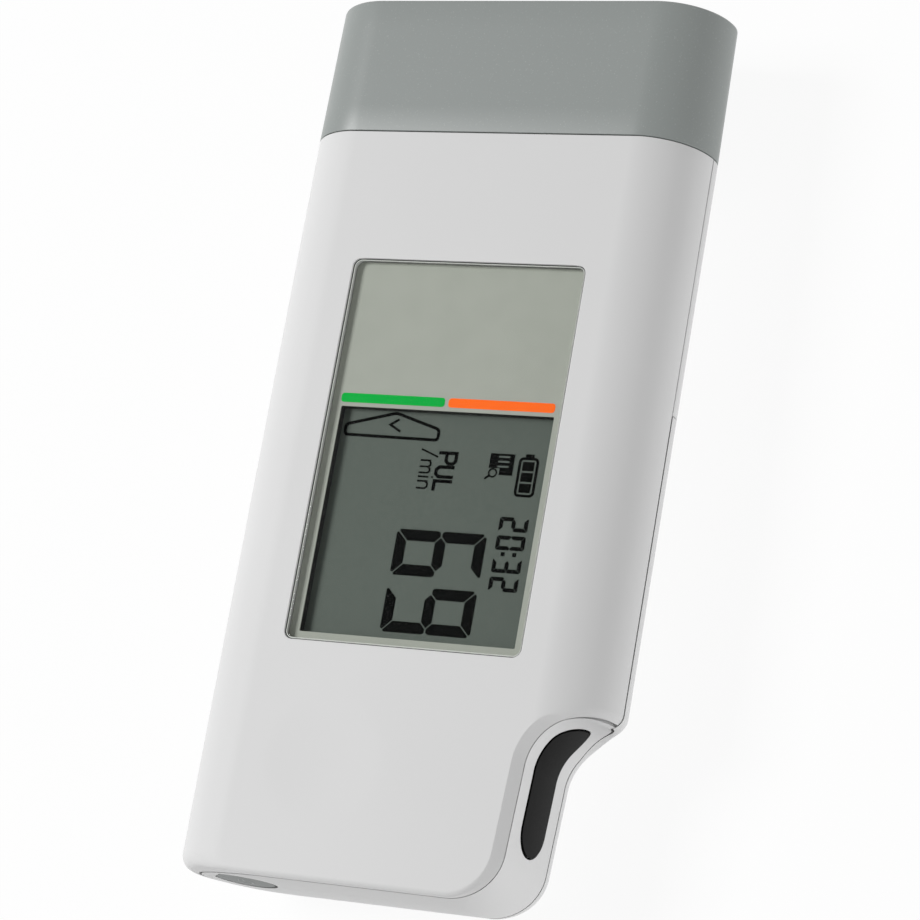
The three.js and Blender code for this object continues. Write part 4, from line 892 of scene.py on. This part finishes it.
# Oval key by shares of its radii and an angle, with a rolled edge, and the mark printed on it
def makeKey():
    angle = np.linspace(0, 2 * math.pi, 73)[None, :]
    share = np.concatenate([[0.02], np.linspace(0.15, 1, 9)])[:, None] * (1 - key["round"] / key["half"][1])
    x, z = share * key["half"][0] * np.cos(angle), share * key["half"][1] * np.sin(angle)
    path, height, face = onKey(x, z, key["sunk"])
    edge = closedRim(path[-1, :-1], height[-1, :-1], -1, key["round"], rimDepth, -key["sunk"])
    makePiece("powerKey", [face, edge], keyGrey, "button", ["power_button"])
    ring = np.linspace(math.pi / 2 + powerMark["gap"], 2.5 * math.pi - powerMark["gap"], 49)[None, :]
    across = powerMark["radius"] + powerMark["stroke"] * np.array([-0.5, 0.5])[:, None]
    bar = np.meshgrid([-powerMark["stroke"] / 2, powerMark["stroke"] / 2],
                      np.linspace(*powerMark["bar"], 6) * powerMark["radius"])
    lines = [(across * np.cos(ring), across * np.sin(ring)), bar]
    markSunk = key["sunk"] - powerMark["lift"]
    makePiece("powerMark", [onKey(x, z, markSunk)[2] for x, z in lines], iconInk, "button")


makeBand()
makeFingerPad()
makeKey()
print("end band, electrode and key made")


# The body's section as a closed loop at a place along it, by an inset from the skin: the back's flat, its
# superellipse, the front's quarter circle and its flat, and then the same on the left
def sectionLoop(inset, y, fine=30):
    power = 2 / body["backFullness"]
    down = np.linspace(math.pi / 2, 0, fine)
    backX = body["backFlat"] + (halfWidth - body["backFlat"] - inset) * np.cos(down) ** power
    backZ = widestZ - (widestZ - inset) * np.sin(down) ** power
    up = np.linspace(0, math.pi / 2, fine)[1:]
    frontX = frontFlat + (body["sideRadius"] - inset) * np.cos(up)
    frontUp = widestZ + (body["sideRadius"] - inset) * np.sin(up)
    flatBack = np.linspace(0, body["backFlat"], 8)[:-1]
    flatFront = np.linspace(frontFlat, 0, 14)[1:]
    x = np.concatenate([flatBack, backX, frontX, flatFront])
    z = np.concatenate([np.full(len(flatBack), backZ[0]), backZ, frontUp,
                        np.full(len(flatFront), frontUp[-1])])
    right = np.stack([x, np.full_like(x, y), z], -1)
    return np.concatenate([right, right[::-1][1:] * mirror])


# Sections joined in turn, each by its inset and its place along the body. An end is closed by rungs from
# its right half to its left half.
def sectionLoft(stations, closeFirst=False, closeLast=False):
    rows = [sectionLoop(inset, y) for inset, y in stations]
    patches = [np.stack(rows)]
    share = np.linspace(0, 1, 13)[None, :, None]
    for close, loop in ((closeFirst, rows[0]), (closeLast, rows[-1])):
        if close:
            count = (len(loop) + 1) // 2
            right, left = loop[:count], loop[::-1][:count]
            patches.append(right[:, None] * (1 - share) + left[:, None] * share)
    return patches


# Stations of a rounded end: steps of a quarter circle, then the edge of the flat
def endStations(inset, radius, end, steps, flatIn):
    along, inward = rollSteps(radius, steps)
    return [(inset + b, end - radius + a) for a, b in zip(along, inward)] + [(inset + radius + flatIn, end)]


capShape = {"draft": 0.18, "round": 0.35, "flatIn": 0.4, "wall": 1.5}


# Tapered outside with a rolled lower edge and a rounded end, and the straight inside
def makeCap():
    low, wall, draft = seamY + seam["half"], capShape["wall"], capShape["draft"]
    along, inward = rollSteps(roll)
    stations = [(wall, low)] + [(b, low + roll - a) for a, b in zip(along[::-1], inward[::-1])]
    length = capTop - capShape["round"] - low - roll
    stations += [(draft * share, low + roll + length * share) for share in np.linspace(0, 1, 6)[1:]]
    stations += endStations(draft, capShape["round"], capTop, 7, capShape["flatIn"])[1:]
    patches = sectionLoft(stations, closeLast=True)
    patches += sectionLoft([(wall, low), (wall, capTop - wall)], closeLast=True)
    makePiece("capShell", patches, greyCap, "cap", ["protective_cap"])


neck = {"inset": 1.8, "rib": 0.15, "ribRise": 4.0, "ribLength": 1.0, "round": 0.35, "flatIn": 0.4}


# Straight sleeve with one low snap rib, half a sine wave high, and a rounded end
def makeNeck():
    inset, rise = neck["inset"], neck["ribRise"] + seamY
    stations = [(inset, neckLow[1]), (inset, rise)]
    stations += [(inset - neck["rib"] * math.sin(math.pi * share), rise + neck["ribLength"] * share)
                 for share in np.linspace(0, 1, 9)[1:]]
    stations += endStations(inset, neck["round"], neckHigh[1], 5, neck["flatIn"])
    makePiece("neckSleeve", sectionLoft(stations, closeFirst=True, closeLast=True), white, "housing",
              ["electrode_neck"])


chest = {"margin": 1.4, "gap": 0.05, "ease": 0.1, "round": 0.8, "flatIn": 0.5}


# Pad on the neck's end, eased where it meets the neck and rounded at its face
def makeChestPad():
    inset, low = neck["inset"] + chest["margin"], neckHigh[1] + chest["gap"]
    stations = [(inset + chest["ease"], low), (inset, low + chest["ease"])]
    stations += endStations(inset, chest["round"], chestHigh[1], 8, chest["flatIn"])
    makePiece("chestPad", sectionLoft(stations, closeFirst=True, closeLast=True), rubber, "housing",
              ["chest_electrode"])


makeCap()
makeNeck()
makeChestPad()
print("cap, neck and chest electrode made")

pane = {"corner": 0.9, "eases": 5, "printCorner": 0.9}
bars = {"height": 1.06, "y": 3.42, "corner": 0.3, "under": 0.02, "over": 0.03,
        "ends": {"greenBar": (-12.85, -0.35), "orangeBar": (0.1, 12.65)}}
# the dark ring in the gap round the pane is painted shade, and the bevel's pale ring a painted highlight
edging = {"bevel": 0.13, "bevelRise": 0.004, "drop": 0.1, "gapShade": 0.08, "gapShadeDrop": 0.03, "thickness": 0.05}
screen = {"low": (-12.7, -23.2), "high": (12.7, 2.45), "corner": 0.15, "foilRise": 0.65, "foilMargin": 0.2,
          "wallOut": 0.03, "wallEnd": 0.4, "wallDrop": 0.01}
screenCentre = (np.array(screen["low"]) + np.array(screen["high"])) / 2
screenHalf = (np.array(screen["high"]) - np.array(screen["low"])) / 2
paneHalf = windowHalf - windowHole["fit"]
wellZ = panelLow[2] + screen["foilRise"]


# The pane, and behind it the printed surround with the display's opening
def makePane():
    makePiece("windowPane", [plate(paneLow, paneHigh, pane["corner"], pane["eases"])], acrylic, "housing",
              ["display_window"])
    outer = loopRows(windowCentre, paneHalf, pane["printCorner"], [(0, maskLow[2]), (0, maskHigh[2])])
    inner = loopRows(screenCentre, screenHalf, screen["corner"], [(0, maskHigh[2]), (0, maskLow[2])])
    makePiece("windowPrint", [np.concatenate([outer, inner, outer[:1]])], maskInk, "housing",
              ["printed_mask"])


# The two coloured bars of the print
def makeBars():
    half = bars["height"] / 2
    for name, (low, high) in bars["ends"].items():
        bar = plate((low, bars["y"] - half, maskHigh[2] - bars["under"]),
                    (high, bars["y"] + half, maskHigh[2] + bars["over"]), bars["height"] * bars["corner"])
        makePiece(name, [bar], greenInk if name == "greenBar" else orangeInk, "housing")


# Bevel round the pane, pale as a painted highlight where its chamfer catches the light, and a dark ring in
# the gap outside it as painted shade
def makeEdging():
    edgeZ = paneHigh[2]
    gapShadeZ = edgeZ - edging["gapShadeDrop"]
    bevel = [(-edging["bevel"], edgeZ + edging["bevelRise"]), (0, edgeZ - edging["drop"])]
    gapShade = [(0, gapShadeZ), (edging["gapShade"], gapShadeZ)]
    for name, lines, material in (("windowBevel", bevel, bevelHighlightPaint), ("windowGapShade", gapShade, gapShadeBlack)):
        levels = lines + [(out, z - edging["thickness"]) for out, z in lines[::-1]] + lines[:1]
        makePiece(name, [loopRows(windowCentre, paneHalf, pane["printCorner"], levels)], material, "housing")


# Reflector foil at the back of the glass, and the well that the opening's sides make, its walls near black
# as painted shade
def makeScreen():
    margin = screen["foilMargin"]
    foilPlate = plate((panelLow[0], screen["low"][1] - margin, panelLow[2]),
                      (panelHigh[0], screen["high"][1] + margin, wellZ), margin)
    makePiece("screenFoil", [foilPlate], foil, "housing", ["display_panel"])
    inner, outer, top = screen["wallOut"], screen["wallEnd"], maskLow[2] - screen["wallDrop"]
    levels = [(inner, top), (inner, wellZ), (outer, wellZ), (outer, top), (inner, top)]
    well = loopRows(screenCentre, screenHalf, screen["corner"], levels)
    makePiece("screenWell", [well], wellPaintedShade, "housing")


# Marks on the display, read with the monitor's long side level: right is down the body, up is across it
marks = {"level": wellZ + 0.02, "thickness": 0.02, "overprint": 0.01, "shift": (-0.27, 0.16)}
digits = {
    "pulse": {"corner": (-3.5, -10.9), "height": 10.6, "width": 5.15, "pitch": 6.35, "stroke": 1.25,
              "text": "69"},
    "clock": {"corner": (8.25, -8.8), "height": 3.35, "width": 1.6, "pitch": 2.06, "stroke": 0.44,
              "text": "20:32"},
}
segmentsOf = {"0": "abcdef", "1": "bc", "2": "abged", "3": "abgcd", "4": "fgbc", "5": "afgcd",
              "6": "afgedc", "7": "abc", "8": "abcdefg", "9": "abcdfg"}
icons = {  # outlines and strokes, across and along the body
    "pointer": {"outline": [(-11.95, -0.62), (-0.7, -0.72), (-0.7, 0.5), (-6.1, 2.1), (-12.0, 0.55)],
                "corner": 0.4, "stroke": 0.34,
                "arrow": [(-5.65, 1.4), (-6.65, 0.75), (-5.3, 0.02)], "arrowStroke": 0.26},
    "cell": {"outline": [(9.45, -2.2), (11.5, -2.2), (11.5, -6.35), (9.45, -6.35)], "corner": 0.45,
             "stroke": 0.3, "terminal": [(10.0, -2.1), (11.0, -2.1), (11.0, -1.7), (10.0, -1.7)],
             "bars": 3, "barX": (9.8, 11.15), "barTop": -2.55, "barHeight": 1.02, "barPitch": 1.22},
    "sheet": {"outline": [(5.9, -1.8), (8.75, -1.8), (8.75, -4.2), (7.2, -4.2), (7.2, -3.45), (5.9, -3.45)],
              "lines": 3, "lineX": (6.9, 8.2), "lineTop": -2.15, "linePitch": 0.55, "lineStroke": 0.2},
    "lens": {"centre": (6.45, -4.0), "radius": 0.45, "stroke": 0.18,
             "handle": [(6.1, -4.32), (5.6, -4.7)], "handleStroke": 0.22},
}
# The display's unit, as strokes: where each group stands, how thick, and its lines in reading directions
unitStrokes = [
    ((-0.2, -2.1), 0.38, [
        [(0, 0), (0, 2.1), (0.9, 2.1), (1.2, 1.8), (1.2, 1.25), (0.9, 0.95), (0, 0.95)],
        [(1.6, 2.1), (1.6, 0.35), (1.9, 0), (2.4, 0), (2.7, 0.35), (2.7, 2.1)],
        [(3.2, 2.1), (3.2, 0), (4.3, 0)]]),
    ((-2.25, -1.8), 0.2, [
        [(0, -0.1), (0.8, 2.0)], [(1.25, 0), (1.25, 1.25)],
        [(1.25, 0.95), (1.5, 1.25), (1.8, 1.25), (1.95, 1.0), (1.95, 0)],
        [(1.95, 0.95), (2.2, 1.25), (2.5, 1.25), (2.65, 1.0), (2.65, 0)],
        [(3.1, 0), (3.1, 1.25)], [(3.1, 1.6), (3.1, 1.8)], [(3.6, 0), (3.6, 1.25)],
        [(3.6, 0.95), (3.85, 1.25), (4.2, 1.25), (4.4, 1.0), (4.4, 0)]]),
]


# Seven mitred bars for each digit, in reading directions: u to the right, v up. Three are drawn, and the
# others are their mirror images.
def digitBars(corner, height, width, pitch, stroke, text):
    polygons, u, cut, ease = [], 0.0, stroke * 0.08, stroke / 3
    top, mid, s = height, height / 2, stroke
    for sign in text:
        if sign == ":":
            for v in (0.3, 0.7):
                polygons.append([(u + a * s / 2, height * v + b * s / 2)
                                 for a, b in ((-1, -1), (1, -1), (1, 1), (-1, 1))])
            u += pitch - width
            continue
        right = u + width
        sides = {
            "a": [(u + ease, top), (right - ease, top), (right - ease / 2 - cut, top - ease / 2),
                  (right - s - cut, top - s), (u + s + cut, top - s), (u + ease / 2 + cut, top - ease / 2)],
            "b": [(right - ease / 2, top - ease / 2 - cut), (right, top - ease), (right, mid + ease),
                  (right - ease / 2, mid + cut), (right - s / 2, mid + cut),
                  (right - s, mid + s / 2 + cut), (right - s, top - s - cut)],
            "g": [(u + s / 2 + cut, mid), (u + s + cut, mid + s / 2), (right - s - cut, mid + s / 2),
                  (right - s / 2 - cut, mid), (right - s - cut, mid - s / 2), (u + s + cut, mid - s / 2)],
        }
        sides["d"] = [(x, height - y) for x, y in sides["a"]]
        sides["c"] = [(x, height - y) for x, y in sides["b"]]
        sides["f"] = [(u + right - x, y) for x, y in sides["b"]]
        sides["e"] = [(u + right - x, y) for x, y in sides["c"]]
        polygons += [sides[segment] for segment in segmentsOf[sign]]
        u += pitch
    return [np.array([[corner[0] + v, corner[1] - u] for u, v in polygon]) for polygon in polygons]


# A line of even width with mitred corners, as one band of quads
def strokePath(points, stroke, closed=False):
    points = np.array(points, float)
    if closed:
        before, after = np.roll(points, 1, 0), np.roll(points, -1, 0)
    else:
        before = np.concatenate([2 * points[:1] - points[1:2], points[:-1]])
        after = np.concatenate([points[1:], 2 * points[-1:] - points[-2:-1]])
    first = unit(points - before)
    bisector = unit(first + unit(after - points))
    normal = np.stack([-bisector[:, 1], bisector[:, 0]], -1)
    cosine = np.sum(normal * np.stack([-first[:, 1], first[:, 0]], -1), 1, keepdims=True)
    leastCosine = 0.4  # past which a mitre is cut short
    scale = stroke / 2 / np.maximum(cosine, leastCosine)
    edges = np.stack([points - normal * scale, points + normal * scale])
    return np.concatenate([edges, edges[:, :1]], 1) if closed else edges


# Thin solid marks: polygons are filled and bands are quads, each carried up by the thickness
def flatPiece(name, polygons, bands, material, level=marks["level"], thickness=marks["thickness"]):
    work = bmesh.new()
    dx, dy = marks["shift"]

    def corner(x, y):
        return work.verts.new(((x + dx) * mm, (y + dy) * mm, level * mm))

    for polygon in polygons:
        work.faces.new([corner(x, y) for x, y in polygon])
    for edges in bands:
        first, second = [[corner(x, y) for x, y in row] for row in edges]
        for i in range(len(first) - 1):
            work.faces.new([first[i], first[i + 1], second[i + 1], second[i]])
    bmesh.ops.remove_doubles(work, verts=work.verts, dist=finish["weld"] * mm)
    made = bmesh.ops.extrude_face_region(work, geom=work.faces[:])
    raised = [item for item in made["geom"] if isinstance(item, bmesh.types.BMVert)]
    bmesh.ops.translate(work, verts=raised, vec=(0, 0, thickness * mm))
    bmesh.ops.recalc_face_normals(work, faces=work.faces)
    mesh = bpy.data.meshes.new(name)
    work.to_mesh(mesh)
    work.free()
    showMesh(name, mesh, material, "housing")


# Closed outline with each corner turned through a short parabola
def roundedPath(points, radius, steps=5):
    points = np.array(points, float)
    before, after = [radius * unit(np.roll(points, k, 0) - points) for k in (1, -1)]
    share = np.linspace(0, 1, steps)[None, :, None]
    turned = points[:, None] + before[:, None] * (1 - share) ** 2 + after[:, None] * share**2
    return turned.reshape(-1, 2)


def makeIcons():
    pointer, cell, sheet, lens = [icons[name] for name in ("pointer", "cell", "sheet", "lens")]
    circle = np.linspace(0, 2 * math.pi, 20, endpoint=False)
    lensRing = np.array(lens["centre"]) + lens["radius"] * np.stack([np.cos(circle), np.sin(circle)], -1)
    bands = [strokePath(roundedPath(pointer["outline"], pointer["corner"]), pointer["stroke"], True),
             strokePath(pointer["arrow"], pointer["arrowStroke"]),
             strokePath(roundedPath(cell["outline"], cell["corner"]), cell["stroke"], True),
             strokePath(lensRing, lens["stroke"], True),
             strokePath(lens["handle"], lens["handleStroke"])]
    fills = [cell["terminal"], sheet["outline"]]
    left, right = cell["barX"]
    for k in range(cell["bars"]):
        top = cell["barTop"] - cell["barPitch"] * k
        low = top - cell["barHeight"]
        fills.append([(left, top), (right, top), (right, low), (left, low)])
    flatPiece("displayIcons", fills, bands, segmentInk)


def makeMarks():
    polygons = [bar for digit in digits.values() for bar in digitBars(**digit)]
    flatPiece("displayDigits", polygons, [], segmentInk)
    makeIcons()
    bands = [strokePath([(x + v, y - u) for u, v in line], stroke)
             for (x, y), stroke, group in unitStrokes for line in group]
    flatPiece("displayUnit", [], bands, segmentInk)
    sheet = icons["sheet"]
    heights = [sheet["lineTop"] - sheet["linePitch"] * k for k in range(sheet["lines"])]
    lines = [strokePath([(x, y) for x in sheet["lineX"]], sheet["lineStroke"]) for y in heights]
    flatPiece("sheetLines", [], lines, foil, marks["level"] + marks["thickness"], marks["overprint"])


makePane()
makeBars()
makeEdging()
makeScreen()
makeMarks()
print("window and display made")

# Finishes of what the housing holds, and which other parts share each
inside = {
    "display_spacer": plainPart("whiteSpacer", "white_spacer", ("#e6e7e5", "#e2e3e1"), 0.6),
    "zebra_connector": plainPart("siliconeConnector", "connector_rubber", ("#3b3b3d", "#353537"), 0.7),
    "main_board": plainPart("solderMask", "green_board", ("#1f5a38", "#1c5434"), 0.4),
    "power_switch": plainPart("switchBody", "black_chip", ("#202124", "#1b1c1e"), 0.5),
    "microcontroller": plainPart("mouldedPackage", "black_chip", ("#222326", "#1c1d1f"), 0.6),
    "clock_crystal": plainPart("crystalCan", "steel_can", ("#b9bbbd", "#b1b3b5"), 0.3, metal=1.0),
    "positive_contact": plainPart("nickelPlate", "nickel_steel", ("#c3c2bd", "#bab9b4"), 0.32, metal=1.0),
    "contact_spring_1": plainPart("springWire", "spring_steel", ("#a9a9a6", "#9f9f9c"), 0.35, metal=1.0),
    "finger_leaf": plainPart("gildedLeaf", "gold_leaf", ("#c8a45a", "#c09c52"), 0.3, metal=1.0),
    "case_screw_1": plainPart("zincScrew", "steel_can", ("#b0b2b4", "#a8aaac"), 0.35, metal=1.0),
    "battery_1": plainPart("cellJacket", "cell_jacket", ("#34383c", "#303438"), 0.3),
}
alike = {
    "microcontroller": ["front_end_chip", "memory_chip"],
    "positive_contact": ["negative_contact", "bridge_contact"],
    "contact_spring_1": ["contact_spring_2"],
    "finger_leaf": ["chest_leaf"],
    "case_screw_1": ["case_screw_2", "case_screw_3", "case_screw_4", "board_screw_1", "board_screw_2"],
    "battery_1": ["battery_2"],
}
for first, material in inside.items():
    for name in [first] + alike.get(first, []):
        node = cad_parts[name]
        node.data.materials.clear()
        node.data.materials.append(material)
print("inner parts finished")

lamps = {  # soft lamps that face the middle of the monitor: place and size in metres, power in watts
    "key": {"place": (-0.617, 0.05, 0.785), "size": 0.34, "power": 7.6},
    "fill": {"place": (0.9, -0.3, 0.07), "size": 0.45, "power": 4.0},
}
skyLevel = 0.28
table = {"half": 3.0, "drop": 0.0002, "colour": "#f4f4f4", "rough": 0.9}
# The table's glow and its share of the table's surface, as seen and as it lights the monitor
tableGlow = {"seen": 1.0, "bounced": 1.2, "shareSeen": 0.92, "shareBounced": 0.55}


# 1 for rays from the camera and for those that gloss and glass send on, so that all of them see one
# backdrop, and 0 for the rest. Returned as a node and its output.
def seenDirectly(owner):
    path = addNode(owner, "ShaderNodeLightPath")
    seen = (path, "Is Camera Ray")
    for ray in ("Is Glossy Ray", "Is Transmission Ray"):
        most = addNode(owner, "ShaderNodeMath", {"operation": "MAXIMUM"})
        for entry, (source, output) in enumerate((seen, (path, ray))):
            owner.node_tree.links.new(source.outputs[output], most.inputs[entry])
        seen = (most, "Value")
    return seen


def makeTable():
    half, z = table["half"], -table["drop"]
    mesh = bpy.data.meshes.new("tableTop")
    mesh.from_pydata([(-half, -half, z), (half, -half, z), (half, half, z), (-half, half, z)], [],
                     [(0, 1, 2, 3)])
    floor = bpy.data.objects.new("tableTop", mesh)
    bpy.context.scene.collection.objects.link(floor)
    material, shader = newMaterial("whiteTable", "table", table["colour"], table["rough"])
    seen = seenDirectly(material)
    level = addNode(material, "ShaderNodeMapRange",
                    {"To Min": tableGlow["bounced"], "To Max": tableGlow["seen"]}, {"Value": seen})
    share = addNode(material, "ShaderNodeMapRange",
                    {"To Min": tableGlow["shareBounced"], "To Max": tableGlow["shareSeen"]}, {"Value": seen})
    light = addNode(material, "ShaderNodeEmission", {"Color": (1, 1, 1, 1)}, {"Strength": (level, "Result")})
    mixShaders(material, (share, "Result"), shader, light)
    mesh.materials.append(material)


def makeLight():
    for name, lamp in lamps.items():
        data = bpy.data.lights.new(name, "AREA")
        data.size = lamp["size"]
        data.energy = lamp["power"]
        light = bpy.data.objects.new(name, data)
        place = np.array(lamp["place"])
        back = unit(place)
        right = unit(np.cross([0, 0, 1], back))
        light.matrix_world = axesAt(right, np.cross(back, right), back, place)
        bpy.context.scene.collection.objects.link(light)
    world = bpy.data.worlds.new("studio")
    bpy.context.scene.world = world
    world.use_nodes = True
    background = world.node_tree.nodes["Background"]
    background.inputs["Color"].default_value = (1, 1, 1, 1)
    span = addNode(world, "ShaderNodeMapRange", {"To Min": skyLevel, "To Max": 1.0},
                   {"Value": seenDirectly(world)})
    world.node_tree.links.new(span.outputs["Result"], background.inputs["Strength"])


makeTable()
makeLight()
bpy.context.scene.view_settings.view_transform = "Standard"
print("floor and light set")
